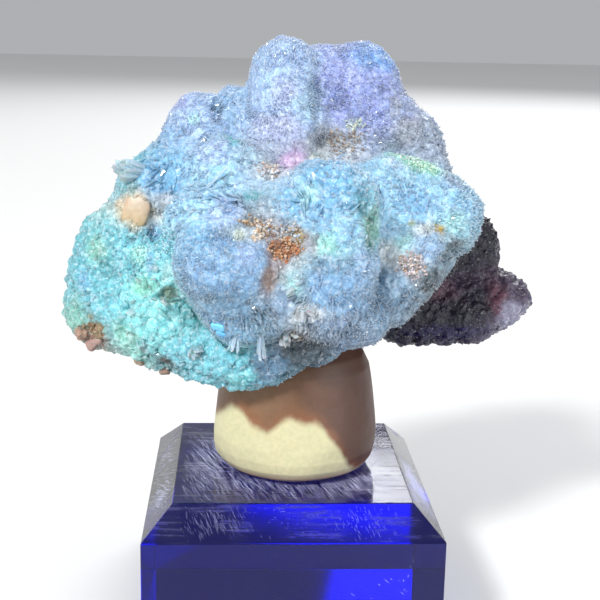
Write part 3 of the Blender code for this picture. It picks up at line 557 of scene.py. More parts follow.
# Hollows in the surface: middle, reach and depth in mm (a negative depth stands out)
hollows = {
    "pit": ((-15.8, -10.3, 44.9), (1.35, 2.2, 0.8), 1.1),
    "pitTail": ((-13.9, -11.6, 44.2), (1.2, 2.0, 0.35), 0.7),
    "leftGroove": ((-18.0, -4.9, 52.1), (0.7, 2.0, 1.3), 0.7),
    "leftStep": ((-20.5, -6.5, 47.0), (1.0, 2.0, 2.4), 0.45),
    "leftCrease": ((-24.5, -5.0, 43.5), (3.0, 2.5, 0.6), 0.4),
    "bottomNotch": ((-19.2, -5.5, 35.6), (0.8, 5.0, 1.2), 0.7),
    "leftNotch": ((-29.5, -1.0, 43.5), (1.5, 6.0, 0.8), 0.6),
    "ballGap": ((-9.9, 1.5, 67.6), (0.8, 4.0, 2.0), 0.9),
    "tealHollow": ((-8.0, -1.8, 63.0), (1.4, 2.5, 1.6), 0.7),
    "crownSeam": ((2.7, -0.7, 69.0), (0.8, 4.0, 4.5), 0.35),
    "cavity": ((5.6, -0.6, 63.2), (2.8, 3.0, 1.3), 0.9),
    "valley": ((8.8, -13.0, 53.8), (0.9, 3.0, 2.6), 1.1),
    "valleyHigh": ((7.5, -14.0, 57.5), (0.9, 3.0, 1.6), 0.6),
    "rustLow": ((-1.9, -15.2, 51.2), (1.8, 3.0, 1.2), 0.5),
    "underLobe": ((19.5, -6.5, 49.5), (2.6, 3.0, 1.2), 0.9),
    "lipHollow": ((-7.4, -12.8, 38.4), (1.2, 2.0, 0.7), 0.6),
    "lowHollow": ((1.0, -14.5, 39.4), (3.2, 2.5, 1.0), 0.8),
}


def hollowDepth(points, shift):
    # The depths of all hollows at each point, each fading out over its border
    return sum(depth * patchMask(points, 0.5 * shift, middle, reach, 0.6, 1.35)
               for middle, reach, depth in hollows.values())


# Patches of the colours above where loose grains take the place of needles: how many grains,
# their width in mm and their colours
grainPatches = {
    "rust": (230, 0.36, ((184, 128, 94), (198, 150, 112), (164, 112, 86), (206, 180, 156))),
    "rustBed": (190, 0.36, ((186, 166, 148), (172, 150, 130), (206, 196, 186), (170, 184, 200))),
    "rustUpper": (70, 0.36, ((172, 140, 110), (190, 164, 134), (200, 188, 170))),
    "rustLink": (70, 0.36, ((182, 154, 130), (212, 200, 186), (166, 138, 116))),
    "beigeGrains": (40, 0.40, ((228, 212, 196), (206, 184, 160), (236, 228, 218))),
    "cavityBrown": (160, 0.36, ((174, 156, 142), (194, 180, 166), (154, 138, 128), (186, 194, 204))),
    "cavityCream": (50, 0.36, ((206, 216, 204), (220, 226, 214), (190, 204, 202))),
    "peachGrains": (80, 0.36, ((212, 198, 190), (196, 176, 166), (200, 210, 222))),
    "speckPatch": (130, 0.38, ((206, 192, 190), (194, 164, 142), (218, 210, 212), (190, 180, 186))),
    "ridgeGreen": (110, 0.38, ((186, 224, 200), (172, 210, 192), (208, 232, 216))),
    "ridgeMoss": (70, 0.36, ((184, 208, 200), (200, 216, 210), (168, 190, 188))),
    "rearRust": (110, 0.38, ((178, 136, 106), (192, 160, 134), (156, 118, 96))),
    "leftBrown": (60, 0.46, ((142, 122, 96), (164, 142, 118), (122, 106, 88))),
}
bareOfNeedles = ("tanPlate", "tanArm", "pit", *grainPatches)


# Shader helpers
def newMaterial(name):
    material = bpy.data.materials.new(name)
    material.use_nodes = True
    tree = material.node_tree
    return material, tree, tree.nodes["Principled BSDF"]


def fillNode(tree, node, values=None, links=None):
    # Fixed values and links for a node's inputs, by their names
    for key, value in (values or {}).items():
        node.inputs[key].default_value = value
    for key, socket in (links or {}).items():
        tree.links.new(socket, node.inputs[key])
    return node


def addNode(tree, kind, values=None, links=None, **settings):
    node = tree.nodes.new(kind)
    for key, value in settings.items():
        setattr(node, key, value)
    return fillNode(tree, node, values, links)


def ramp(tree, source, low, high, toLow=0.0, toHigh=1.0):
    node = addNode(tree, "ShaderNodeMapRange", interpolation_type="SMOOTHSTEP",
                   values={"From Min": low, "From Max": high, "To Min": toLow, "To Max": toHigh},
                   links={"Value": source})
    return node.outputs["Result"]


def mixColours(tree, share, under, over, blend="MIX"):
    # under and over are sockets or colours; share is a socket or a number
    node = tree.nodes.new("ShaderNodeMix")
    node.data_type = "RGBA"
    node.blend_type = blend
    for index, value in ((0, share), (6, under), (7, over)):
        if isinstance(value, bpy.types.NodeSocket):
            tree.links.new(value, node.inputs[index])
        else:
            node.inputs[index].default_value = value
    return node.outputs[2]


def timesValue(tree, colour, value):
    # A colour made brighter or darker by a value
    grey = addNode(tree, "ShaderNodeCombineColor",
                   links={"Red": value, "Green": value, "Blue": value})
    return mixColours(tree, 1.0, colour, grey.outputs["Color"], "MULTIPLY")


def product(tree, first, second):
    return addNode(tree, "ShaderNodeMath", operation="MULTIPLY",
                   links={0: first, 1: second}).outputs[0]


def objectPlace(tree):
    return tree.nodes.new("ShaderNodeTexCoord").outputs["Object"]


def noiseOf(tree, place, perMm, detail=3.0, rough=0.55):
    node = addNode(tree, "ShaderNodeTexNoise", links={"Vector": place},
                   values={"Scale": perMm / mm, "Detail": detail, "Roughness": rough})
    return node.outputs["Fac"]


def readValue(tree, name):
    return addNode(tree, "ShaderNodeAttribute", attribute_name=name)


def useGroup(tree, group, links, values=None):
    node = tree.nodes.new("ShaderNodeGroup")
    node.node_tree = group
    return fillNode(tree, node, values, links).outputs


def newGroup(name, takes, gives):
    # A node group with its sockets, each with its kind
    group = bpy.data.node_groups.new(name, "ShaderNodeTree")
    for way, sockets in (("INPUT", takes), ("OUTPUT", gives)):
        for socket, kind in sockets.items():
            group.interface.new_socket(socket, in_out=way, socket_type="NodeSocket" + kind)
    inside = group.nodes.new("NodeGroupInput").outputs
    outside = group.nodes.new("NodeGroupOutput").inputs
    return group, inside, outside


def frostGroup():
    # Frosting on crystal faces: a fine mottled mask, and the colour whitened by it where pale
    group, inside, outside = newGroup(
        "crystalFrost", {"Place": "Vector", "Colour": "Color", "Amount": "Float"},
        {"Colour": "Color", "Mask": "Float"})
    mask = ramp(group, noiseOf(group, inside["Place"], 1.6, 4.0, 0.65), 0.45, 0.68)
    bright = addNode(group, "ShaderNodeSeparateColor", links={"Color": inside["Colour"]})
    pale = ramp(group, bright.outputs["Green"], 0.0, 0.4, 0.06, 1.0)
    share = product(group, product(group, mask, pale), inside["Amount"])
    white = mixColours(group, share, inside["Colour"], frostWhite)
    group.links.new(white, outside["Colour"])
    group.links.new(mask, outside["Mask"])
    return group


def streakGroup():
    # Streaks that run out from the eye of a ball: noise over the direction from the eye,
    # with a little of the place, so that it changes slowly along them
    group, inside, outside = newGroup(
        "growthStreaks", {"Place": "Vector", "Eye": "Vector"}, {"Streak": "Float"})
    way = addNode(group, "ShaderNodeVectorMath", operation="SUBTRACT",
                  links={0: inside["Place"], 1: inside["Eye"]})
    unit = addNode(group, "ShaderNodeVectorMath", operation="NORMALIZE",
                   links={0: way.outputs["Vector"]})
    far = addNode(group, "ShaderNodeVectorMath", operation="SCALE",
                  links={0: unit.outputs["Vector"]}, values={"Scale": 5.0 * mm})
    slow = addNode(group, "ShaderNodeVectorMath", operation="MULTIPLY_ADD",
                   links={0: inside["Place"], 2: far.outputs["Vector"]},
                   values={1: (0.12, 0.12, 0.12)})
    noise = noiseOf(group, slow.outputs["Vector"], skinLook["streaksPerMm"], 4.0, 0.62)
    group.links.new(noise, outside["Streak"])
    return group


# Looks. A pair is the value where its mask is 0 and where it is 1. Depths are in mm, and
# reach is the part of the depth that red, green and blue light goes.
frostWhite = (0.88, 0.94, 1.0, 1.0)
needleLook = {
    # Painted shade: each needle's root is darkened for the shade between the needles
    "rootShade": 0.88,        # how dark a needle's root is beside its colour
    "tipWhite": 0.30,        # how far its tip turns to white
    "vary": (0.88, 1.0),     # brightness from needle to needle
    "tip": (0.93, 0.97, 1.0, 1.0),
    "frost": 0.22, "roughness": (0.06, 0.32), "ior": 1.48, "through": 0.28,
    "scatter": 0.55, "scatterDepth": 1.3, "reach": (1.0, 0.85, 0.7),
}
skinLook = {
    "frost": 0.30, "roughness": (0.12, 0.42), "ior": 1.47, "through": 0.0,
    "scatter": 0.35, "scatterDepth": 1.0, "reach": (1.0, 0.85, 0.7),
    "streak": (0.88, 1.0), "streaksPerMm": 2.2, "grain": (0.88, 1.0), "grooveShade": 0.78,
    "rimsPerMm": 1.1, "rim": 0.35, "rimLight": (0.86, 0.95, 1.0, 1.0),
    "facetsPerMm": 2.4, "bump": 0.22,
}
clearLook = {
    "frost": 0.5, "roughness": (0.04, 0.20), "ior": 1.46, "through": 0.5,
    "scatter": 0.35, "scatterDepth": 0.8, "reach": (1.0, 0.2, 0.1),
    # Painted highlight: each prism whitens from its foot to its edge, for the light caught on its
    # edges
    "white": (0.25, 0.5, 0.85),      # at a prism's foot, its shoulder and its edge
    "edge": (0.90, 0.96, 1.0),
}
plateLook = {
    "roughness": 0.42, "scatter": 0.4, "scatterDepth": 1.2, "grainPerMm": 1.2,
    "grain": (0.90, 1.06),
}
grainLook = {
    "roughness": 0.30, "scatter": 0.15, "scatterDepth": 0.4, "grainPerMm": 3.0,
    "grain": (0.85, 1.10),
}


def frostedShader(tree, shader, look, frost, place, colour, links=None):
    # The colour and the roughness under the frost, and how light passes and scatters inside
    frosted = useGroup(tree, frost, {"Place": place, "Colour": colour}, {"Amount": look["frost"]})
    rough = ramp(tree, frosted["Mask"], 0.0, 1.0, *look["roughness"])
    fillNode(tree, shader, {
        "IOR": look["ior"], "Transmission Weight": look["through"],
        "Subsurface Weight": look["scatter"], "Subsurface Radius": look["reach"],
        "Subsurface Scale": look["scatterDepth"] * mm,
    }, {"Base Color": frosted["Colour"], "Roughness": rough, **(links or {})})


def makeNeedleMaterial(frost):
    material, tree, shader = newMaterial("creediteNeedles")
    look = needleLook
    tint = readValue(tree, "tint").outputs["Color"]
    along = readValue(tree, "along").outputs["Fac"]
    own = readValue(tree, "own").outputs["Fac"]
    # Painted shade: each needle darker towards its root, among its neighbours
    depth = ramp(tree, along, 0.4, 0.92, look["rootShade"], 1.0)
    vary = ramp(tree, own, 0.0, 1.0, *look["vary"])
    colour = timesValue(tree, tint, product(tree, depth, vary))
    tip = ramp(tree, along, 0.88, 1.0, 0.0, look["tipWhite"])
    colour = mixColours(tree, tip, colour, look["tip"])
    frostedShader(tree, shader, look, frost, objectPlace(tree), colour)
    return material


def makeSkinMaterial(frost, streaks):
    material, tree, shader = newMaterial("creediteSkin")
    look = skinLook
    place = objectPlace(tree)
    tint = readValue(tree, "tint").outputs["Color"]
    eye = readValue(tree, "eye").outputs["Vector"]
    streak = useGroup(tree, streaks, {"Place": place, "Eye": eye})["Streak"]
    lines = ramp(tree, streak, 0.36, 0.66, *look["streak"])
    grain = ramp(tree, noiseOf(tree, place, 1.5, 4.0, 0.6), 0.35, 0.68, *look["grain"])
    # Painted shade: darker in the grooves between the cobbles
    grooveShade = ramp(tree, readValue(tree, "grooveShade").outputs["Fac"], 0.0, 0.45, look["grooveShade"], 1.0)
    value = product(tree, product(tree, lines, grain), grooveShade)
    rims = addNode(tree, "ShaderNodeTexVoronoi", feature="DISTANCE_TO_EDGE",
                   links={"Vector": place}, values={"Scale": look["rimsPerMm"] / mm})
    rim = ramp(tree, rims.outputs["Distance"], 0.02, 0.14, look["rim"], 0.0)
    pale = mixColours(tree, rim, timesValue(tree, tint, value), look["rimLight"], "SOFT_LIGHT")
    cells = addNode(tree, "ShaderNodeTexVoronoi", links={"Vector": place},
                    values={"Scale": look["facetsPerMm"] / mm, "Randomness": 1.0})
    relief = {"Strength": 0.6, "Distance": look["bump"] * mm}
    facet = addNode(tree, "ShaderNodeBump", relief, {"Height": cells.outputs["Distance"]})
    bump = addNode(tree, "ShaderNodeBump", relief,
                   {"Height": streak, "Normal": facet.outputs["Normal"]})
    frostedShader(tree, shader, look, frost, place, pale, {"Normal": bump.outputs["Normal"]})
    return material


def makeTintedMaterial(name, look):
    # The tint of each vertex with an even grain, for plates, nodules and loose grains
    material, tree, shader = newMaterial(name)
    tint = readValue(tree, "tint").outputs["Color"]
    noise = noiseOf(tree, objectPlace(tree), look["grainPerMm"], 4.0, 0.6)
    even = ramp(tree, noise, 0.3, 0.7, *look["grain"])
    fillNode(tree, shader, {
        "Roughness": look["roughness"], "Subsurface Weight": look["scatter"],
        "Subsurface Scale": look["scatterDepth"] * mm,
    }, {"Base Color": timesValue(tree, tint, even)})
    return material


def makeClearMaterial(frost):
    material, tree, shader = newMaterial("clearCreedite")
    tint = readValue(tree, "tint").outputs["Color"]
    frostedShader(tree, shader, clearLook, frost, objectPlace(tree), tint)
    return material


def gridFaces(rows, sides):
    # Triangles over a grid of rows round an axis, in a lump whose last two points are the
    # ends before the first row and after the last; they turn outward when the rows run
    # down the axis and the sides run counterclockwise seen from the first end
    side = np.arange(sides)
    after = (side + 1) % sides
    start = np.arange(rows - 1)[:, None] * sides
    low, high = start + side, start + after
    last = (rows - 1) * sides
    first, second = rows * sides, rows * sides + 1
    return np.concatenate([
        np.stack([low, low + sides, high + sides], -1).reshape(-1, 3),
        np.stack([low, high + sides, high], -1).reshape(-1, 3),
        np.stack([np.full(sides, first), side, after], -1),
        np.stack([np.full(sides, second), last + after, last + side], -1)])


def ballGrid(rows, sides):
    # A unit ball over two parameters: the angle down from the pole and the angle round
    down, around = np.meshgrid(np.linspace(0, math.pi, rows + 2)[1:-1],
                               np.linspace(0, 2 * math.pi, sides, endpoint=False), indexing="ij")
    unit = np.stack([np.sin(down) * np.cos(around), np.sin(down) * np.sin(around),
                     np.cos(down)], axis=-1).reshape(-1, 3)
    return np.concatenate([unit, [[0, 0, 1], [0, 0, -1]]]), gridFaces(rows, sides)


def cellNumbers(points, size, seed):
    # One wandering middle in each cell of a cubic grid: the distances, in cells, to the
    # nearest and the second nearest middle, the offset from the nearest, and its number
    places = points / np.asarray(size, float)[:, None]
    cell = np.floor(places).astype(np.int64)
    first = np.full(len(points), 9.0)
    second = np.full(len(points), 9.0)
    offset = np.zeros_like(places)
    number = np.zeros(len(points), np.int64)
    for corner in range(27):
        other = cell + np.array([corner % 3, corner // 3 % 3, corner // 9]) - 1
        key = cellKeys(other, seed)
        key = ((key ^ (key >> 11)) * 668265263) & lowBits
        middle = other + np.stack([(key >> shift) & 0xFF for shift in (3, 11, 19)], axis=1) / 255.0
        away = np.linalg.norm(middle - places, axis=1)
        nearer = away < first
        second = np.where(nearer, first, np.minimum(second, away))
        first = np.where(nearer, away, first)
        offset[nearer] = (places - middle)[nearer]
        number[nearer] = key[nearer]
    return first, second, offset, number


def cobbles(points, size, seed):
    # Rounded stones packed together: 1 over a cell's middle, falling to 0 at its border
    first, second, _, _ = cellNumbers(points, size, seed)
    return np.sqrt(np.clip((second - first) / 0.55, 0.0, 1.0))


def facets(points, size, seed):
    # Flat pieces, each tilted its own way about its cell's middle
    _, _, offset, number = cellNumbers(points, size, seed)
    tilt = np.stack([((number >> shift) & 0x3FF) / 511.5 - 1.0 for shift in (2, 11, 20)], axis=1)
    return np.sum(offset * unitRows(tilt), axis=1)


# The parts of the skin: closed lumps made of the balls whose names start so
skinParts = {
    "skinLeft": ("leftLobe", "leftMid", "leftLow", "lip", "coreLeft", "rearLeft", "shoulderLeft",
                 "shoulderEdge"),
    "skinTop": ("crown", "leftBall", "shoulder", "coreTop", "ridge", "rearTop", "plate",
                "coreMiddle", "rearMiddle"),
    "skinRight": ("front", "rightFront", "low", "rightLobe", "rightPink", "rightUnder",
                  "coreRight", "coreLow", "shadow", "foot", "rearRight", "rust"),
}


skinForm = {
    "voxel": 0.31,           # mm
    "inset": 0.3,            # mm: how far inside the balls' radii the joined form starts
    "steps": 4,              # how many times it is drawn towards the common surface
    "stride": 0.7,           # mm: the most that a step moves a point
    "gentlest": 0.3,         # the least slope that a step counts with
    "hidden": 2.0,           # mm: points that lie deeper stay where they are
    "cobbleLevel": 0.75,     # the height of a cobble that counts as the surface
    "swell": ((4.5, 0.48), (2.0, 0.30), (0.9, 0.12)),    # mm: size and height of the unevenness
}


def swelling(points):
    return sum(height * steadyNoise(points, size, noiseSeeds["swell"] + order)
               for order, (size, height) in enumerate(skinForm["swell"]))


def groupOf(name, groups):
    # The group that holds the longest start of the name
    fits = [(len(start), group) for group, starts in groups.items()
            for start in starts if name.startswith(start)]
    return max(fits)[1]


def makeSkin(material):
    # Each part is its balls joined by a voxel remesh. Its points are then drawn to the
    # common surface under the needles' tips, each step being the distance left over the
    # slope's length, and raised or sunk along the slope by noise, rounded cobbles, tilted
    # facets and the hollows.
    form = skinForm
    pieces = []
    surfaces = []
    unit, faces = ballGrid(26, 48)
    for name in skinParts:
        members = [i for i, ball in enumerate(ballNames) if groupOf(ball, skinParts) == name]
        points = [ballCentres[i] + unit * (ballRadii[i] - form["inset"]) for i in members]
        triangles = [faces + order * len(unit) for order in range(len(members))]
        piece = makePiece(name, np.concatenate(points), np.concatenate(triangles), material)
        remesh = piece.modifiers.new("join", "REMESH")
        remesh.mode = "VOXEL"
        remesh.voxel_size = form["voxel"] * mm
        depsgraph = bpy.context.evaluated_depsgraph_get()
        joined = bpy.data.meshes.new_from_object(piece.evaluated_get(depsgraph))
        piece.modifiers.clear()
        piece.data = joined
        places = meshPlaces(joined)
        owner = np.argmin(ballDistances(places), axis=1)
        depth, lobe, cobble, facet = [np.array([habit[key] for habit in ballHabits])[owner]
                                      for key in ("skin", "lobes", "cobbles", "facets")]
        for _ in range(form["steps"]):
            away = skinDistance(places)
            slope = skinSlope(places, away)
            steep = np.clip(np.linalg.norm(slope, axis=1), form["gentlest"], 1.0)
            slope = unitRows(slope)
            shown = away > -form["hidden"]
            move = np.clip((away + depth) / steep, -form["stride"], form["stride"])
            places = places - slope * np.where(shown, move, 0.0)[:, None]
        height = swelling(places)
        lobeHeight = cobbles(places, lobe[:, 0], noiseSeeds["lobes"])
        height += lobe[:, 1] * (lobeHeight - form["cobbleLevel"])
        stones = cobbles(places, cobble[:, 0], noiseSeeds["cobbles"])
        height += cobble[:, 1] * (stones - form["cobbleLevel"])
        height += facet[:, 1] * facets(places, facet[:, 0], noiseSeeds["facets"])
        height -= hollowDepth(places, wander(places))
        places = places + slope * np.where(shown, height, 0.0)[:, None]
        joined.vertices.foreach_set("co", (places * mm).astype(np.float32).ravel())
        joined.polygons.foreach_set("use_smooth", np.ones(len(joined.polygons), bool))
        joined.update()
        storeValues(piece, "tint", patchColours(places))
        # Painted shade along the cobbles' grooves, where the stones' height is low
        storeValues(piece, "grooveShade", stones ** 2)
        eyes = joined.attributes.new("eye", "FLOAT_VECTOR", "POINT")
        eyes.data.foreach_set("vector", (ballEyes[owner] * mm).astype(np.float32).ravel())
        print(name + ":", len(joined.polygons), "faces")
        pieces.append(piece)
        surfaces.append(np.concatenate([places, slope], axis=1)[shown])
    return pieces, np.concatenate(surfaces)


needleGrowth = {
    "disorder": 0.22, "bundleDisorder": 0.25,    # in shares of the gap between them
    "deepest": 1.1,          # mm: tips that lie deeper under the surface are left out
    "bare": 0.75,            # the share of the tips that is left out where grains lie
    "widths": (0.7, 1.25), "lengths": (0.8, 1.15),    # in shares of the habit's
    "caps": (0.5, 1.3), "slant": 0.35,           # the pointed end, in widths
}


def growNeedles(index, rng):
    # Tips lie evenly on the ball and are lifted to the common surface, in two steps along
    # their needles. Each needle runs from the ball's eye through its tip, leans towards the
    # middle of its bundle and stands out more the nearer it is to that middle.
    centre, radii, start = ballCentres[index], ballRadii[index], ballEyes[index]
    grow = ballHabits[index]
    power = 1.6    # of the usual formula for an ellipsoid's area
    a, b, c = radii ** power
    area = 4 * math.pi * ((a * b + a * c + b * c) / 3) ** (1 / power)
    units = evenDirections(int(area / grow["gap"] ** 2), rng, needleGrowth["disorder"])
    tips = centre + units * radii
    depth = skinDistance(tips)
    shift = wander(tips)
    bare = np.zeros(len(tips))
    for name in bareOfNeedles:
        bare = np.maximum(bare, patchMask(tips, shift, *colourPatches[name][:2]))
    seen = rng.uniform(0, 1, len(tips)) > bare * needleGrowth["bare"]
    seen &= depth > -needleGrowth["deepest"]
    units, tips, depth, shift = units[seen], tips[seen], depth[seen], shift[seen]
    bundles = evenDirections(max(8, int(area / grow["bundle"] ** 2)), rng,
                             needleGrowth["bundleDisorder"])
    near = np.concatenate([np.argmax(part @ bundles.T, axis=1)
                           for part in np.array_split(units, 1 + len(units) // 4000)])
    mates = centre + bundles[near] * radii
    aside = np.linalg.norm(tips - mates, axis=1) / (0.6 * grow["bundle"])
    ways = unitRows(tips - start) * (1 - grow["lean"]) + unitRows(mates - start) * grow["lean"]
    ways = unitRows(ways + rng.normal(0, grow["stray"], tips.shape))
    lift = grow["dome"] * (0.55 - np.clip(aside, 0, 1.4) ** 2)
    lift += rng.normal(0, grow["uneven"], len(tips)) - hollowDepth(tips, shift)
    lift -= depth + skinDistance(tips - ways * depth[:, None])
    lift += swelling(tips)
    own = 0.5 * rng.uniform(0, 1, len(tips)) + 0.5 * rng.uniform(0, 1, len(bundles))[near]
    return tips + ways * lift[:, None], ways, own


def needlePrisms(tips, ways, own, grow, rng):
    # Each needle is two pyramids back to back: a long one from its buried root to the ring
    # of four corners near its end, and a short one from there to the slanted tip
    count, slant = len(tips), needleGrowth["slant"]
    width = grow["width"] * rng.uniform(*needleGrowth["widths"], count)[:, None]
    length = grow["length"] * rng.uniform(*needleGrowth["lengths"], count)[:, None]
    side = unitRows(np.cross(ways, unitRows(rng.normal(0, 1, tips.shape))))
    across = np.cross(ways, side)
    cap = width * rng.uniform(*needleGrowth["caps"], count)[:, None]
    ring = tips - ways * cap
    aside = side * width * rng.uniform(-slant, slant, count)[:, None]
    corners = np.stack([
        tips - ways * length,
        ring + side * width * 0.5, ring + across * width * 0.4,
        ring - side * width * 0.5, ring - across * width * 0.4,
        tips + aside], axis=1)
    faces = repeatFaces([[0, 2, 1], [0, 3, 2], [0, 4, 3], [0, 1, 4],
                         [1, 2, 5], [2, 3, 5], [3, 4, 5], [4, 1, 5]], count, 6)
    along = np.tile([0.0, 0.9, 0.9, 0.9, 0.9, 1.0], count)
    return corners.reshape(-1, 3), faces, along, np.repeat(own, 6)


def needleSheet(piece, count):
    # A flat layout for the textures: each needle in its own square of a grid, its four
    # sides next to each other, roots at the foot and tips at the top
    across = int(math.ceil(math.sqrt(count)))
    cell = np.arange(count)
    corner = np.stack([cell % across, cell // across], axis=1) / across
    side = np.arange(4)
    left, right, mid = side / 4, (side + 1) / 4, (side + 0.5) / 4
    foot, ring, top = np.zeros(4), np.full(4, 0.55), np.ones(4)
    roots = np.stack([np.stack([mid, foot], -1), np.stack([right, ring], -1),
                      np.stack([left, ring], -1)], axis=1)
    caps = np.stack([np.stack([left, ring], -1), np.stack([right, ring], -1),
                     np.stack([mid, top], -1)], axis=1)
    shape = np.concatenate([roots, caps]).reshape(-1, 2) * 0.9 + 0.05
    sheet = (corner[:, None] + shape[None] / across).reshape(-1, 2)
    layer = piece.data.uv_layers.new(name="OFBake")
    layer.data.foreach_set("uv", sheet.astype(np.float32).ravel())


# Where each group of needles lies: the balls whose names start so
needleGroups = {
    "needlesCrown": ("crown",),
    "needlesShoulder": ("leftBall", "shoulder", "plate", "coreTop", "ridge"),
    "needlesLeft": ("leftLobe", "leftMid", "leftLow", "lip", "coreLeft", "coreLow"),
    "needlesFront": ("front", "rightFront", "low", "coreMiddle", "rust"),
    "needlesRight": ("rightLobe", "rightPink", "rightUnder", "coreRight", "shadow", "foot"),
    "needlesRear": ("rear",),
}


def makeNeedles(material):
    pieces = []
    grown = {group: [] for group in needleGroups}
    for index, name in enumerate(ballNames):
        rng = np.random.default_rng(100 + index)
        tips, ways, own = growNeedles(index, rng)
        group = groupOf(name, needleGroups)
        grown[group].append(needlePrisms(tips, ways, own, ballHabits[index], rng))
    for group, parts in grown.items():
        piece, points = joinParts(group, parts, material)
        tint = patchColours(points.reshape(-1, 6, 3)[:, 5])
        storeValues(piece, "tint", np.repeat(tint, 6, axis=0))
        storeValues(piece, "along", np.concatenate([part[2] for part in parts]))
        storeValues(piece, "own", np.concatenate([part[3] for part in parts]))
        needleSheet(piece, len(tint))
        print(group + ":", len(piece.data.polygons), "triangles")
        pieces.append(piece)
    return pieces


# Larger clear crystals: where their roots meet (mm), their aim, how far they fan out
# (degrees), how many, and their length and width (mm)
clearCrystals = {
    "shoulderBlock": ((-17.4, -1.6, 58.4), (-1, -0.14, 0.24), 10, 34, 5.6, 1.0),
    "fringePrisms": ((-4.6, -16.2, 42.4), (0.03, -0.25, -1), 11, 12, 4.3, 0.4),
    "fringeLeft": ((-7.2, -16.4, 42.6), (-0.15, -0.3, -1), 14, 10, 3.4, 0.35),
    "fringeRight": ((-1.6, -14.4, 41.8), (0.05, -0.5, -0.9), 24, 14, 2.6, 0.5),
    "lowSpikes": ((-3.9, -11.8, 37.4), (0, -0.4, -1), 18, 7, 2.7, 0.45),
    "lowSkyBlades": ((-12.6, -10.4, 38.4), (0.1, -0.9, -0.5), 28, 12, 2.7, 0.6),
    "shoulderBlades": ((-11.8, -12.0, 57.6), (3.6, 2.6, 2.3), 9, 10, 4.8, 0.4),
    "mintBlades": ((-14.8, -13.6, 53.6), (3.0, -0.4, 3.1), 15, 12, 3.8, 0.32),
    "leftMidBlades": ((-17.5, -6.0, 43.5), (-0.2, -1, 0.1), 48, 16, 5.6, 0.75),
    "leftLowBlades": ((-14.5, -6.0, 38.5), (0, -1, -0.5), 46, 12, 5.0, 0.7),
    "lipBlades": ((-6.5, -9.0, 37.5), (0, -1, -0.5), 46, 12, 4.8, 0.7),
    "plateBlades": ((-10.0, -9.5, 54.5), (0.1, -1, 0.8), 45, 12, 4.8, 0.5),
    "rightFrontBlades": ((3.5, -11.0, 55.0), (0.1, -1, 0.4), 50, 10, 6.2, 0.9),
    "clearRound": ((0.9, -15.3, 43.8), (0.05, -1, 0.1), 10, 4, 3.1, 1.4),
    "skyBlades": ((3.4, -13.8, 46.6), (0.3, -1, 0.25), 34, 13, 3.9, 1.0),
    "shellBlades": ((8.0, -12.4, 50.5), (0.2, -1, 0.2), 30, 9, 3.0, 0.9),
    "whiteBlocks": ((-0.6, -14.6, 47.1), (-0.1, -1, 0.1), 14, 3, 2.6, 1.1),
    "speckGlints": ((16.9, -7.8, 52.0), (0.2, -1, 0), 20, 3, 1.9, 0.6),
    "crownGlints": ((-5.4, -3.2, 62.3), (0, -1, 0.2), 30, 4, 2.0, 0.5),
}


def clearPrisms(foot, ways, length, width, rng):
    # Flat four-sided prisms: a ring at the foot, a ring at the shoulder, and over it the
    # slanted edge of a chisel
    count = len(foot)
    side = unitRows(np.cross(ways, unitRows(rng.normal(0, 1, (count, 3)))))
    across = np.cross(ways, side)
    width = width * rng.uniform(0.7, 1.3, count)[:, None]
    length = length * rng.uniform(0.75, 1.05, count)[:, None]
    thick = width * rng.uniform(0.45, 0.8, count)[:, None]
    corners = [side * width + across * thick, -side * width + across * thick,
               -side * width - across * thick, side * width - across * thick]
    shoulder = foot + ways * (length - width * 0.7)
    ridge = foot + ways * length
    tilt = ways * width * rng.uniform(-0.25, 0.25, count)[:, None]
    points = np.stack([foot + 0.5 * corner for corner in corners]
                      + [shoulder + 0.5 * corner for corner in corners]
                      + [ridge + side * width * 0.4 + tilt, ridge - side * width * 0.4 - tilt], 1)
    faces = repeatFaces([[0, 1, 5], [0, 5, 4], [1, 2, 6], [1, 6, 5], [2, 3, 7], [2, 7, 6],
                         [3, 0, 4], [3, 4, 7], [4, 5, 9], [4, 9, 8], [6, 7, 8], [6, 8, 9],
                         [5, 6, 9], [7, 4, 8], [0, 2, 1], [0, 3, 2]], count, 10)
    return points.reshape(-1, 3), faces


def sprayPrisms(root, aim, fan, count, length, width, rng):
    # Prisms that fan out from one root
    spread = rng.normal(0, math.tan(math.radians(fan)) * 0.6, (count, 3))
    ways = unitRows(unitRows(np.array([aim], float)) + spread)
    foot = np.array(root) + rng.normal(0, 0.35 * width, (count, 3))
    return clearPrisms(foot, ways, length, width, rng)


def makeClearCrystals(material):
    # The patches' colours, whiter from the foot of each prism to its edge: a painted highlight along
    # its edges
    rng = np.random.default_rng(17)
    parts = [sprayPrisms(*spray, rng) for spray in clearCrystals.values()]
    piece, points = joinParts("clearCrystals", parts, material)
    white = np.repeat(clearLook["white"], (4, 4, 2))
    white = np.tile(white, len(points) // 10)[:, None]
    tint = patchColours(points)
    storeValues(piece, "tint", tint + (np.array(clearLook["edge"]) - tint) * white)
    print("clear crystals:", len(piece.data.polygons), "triangles")
    return piece


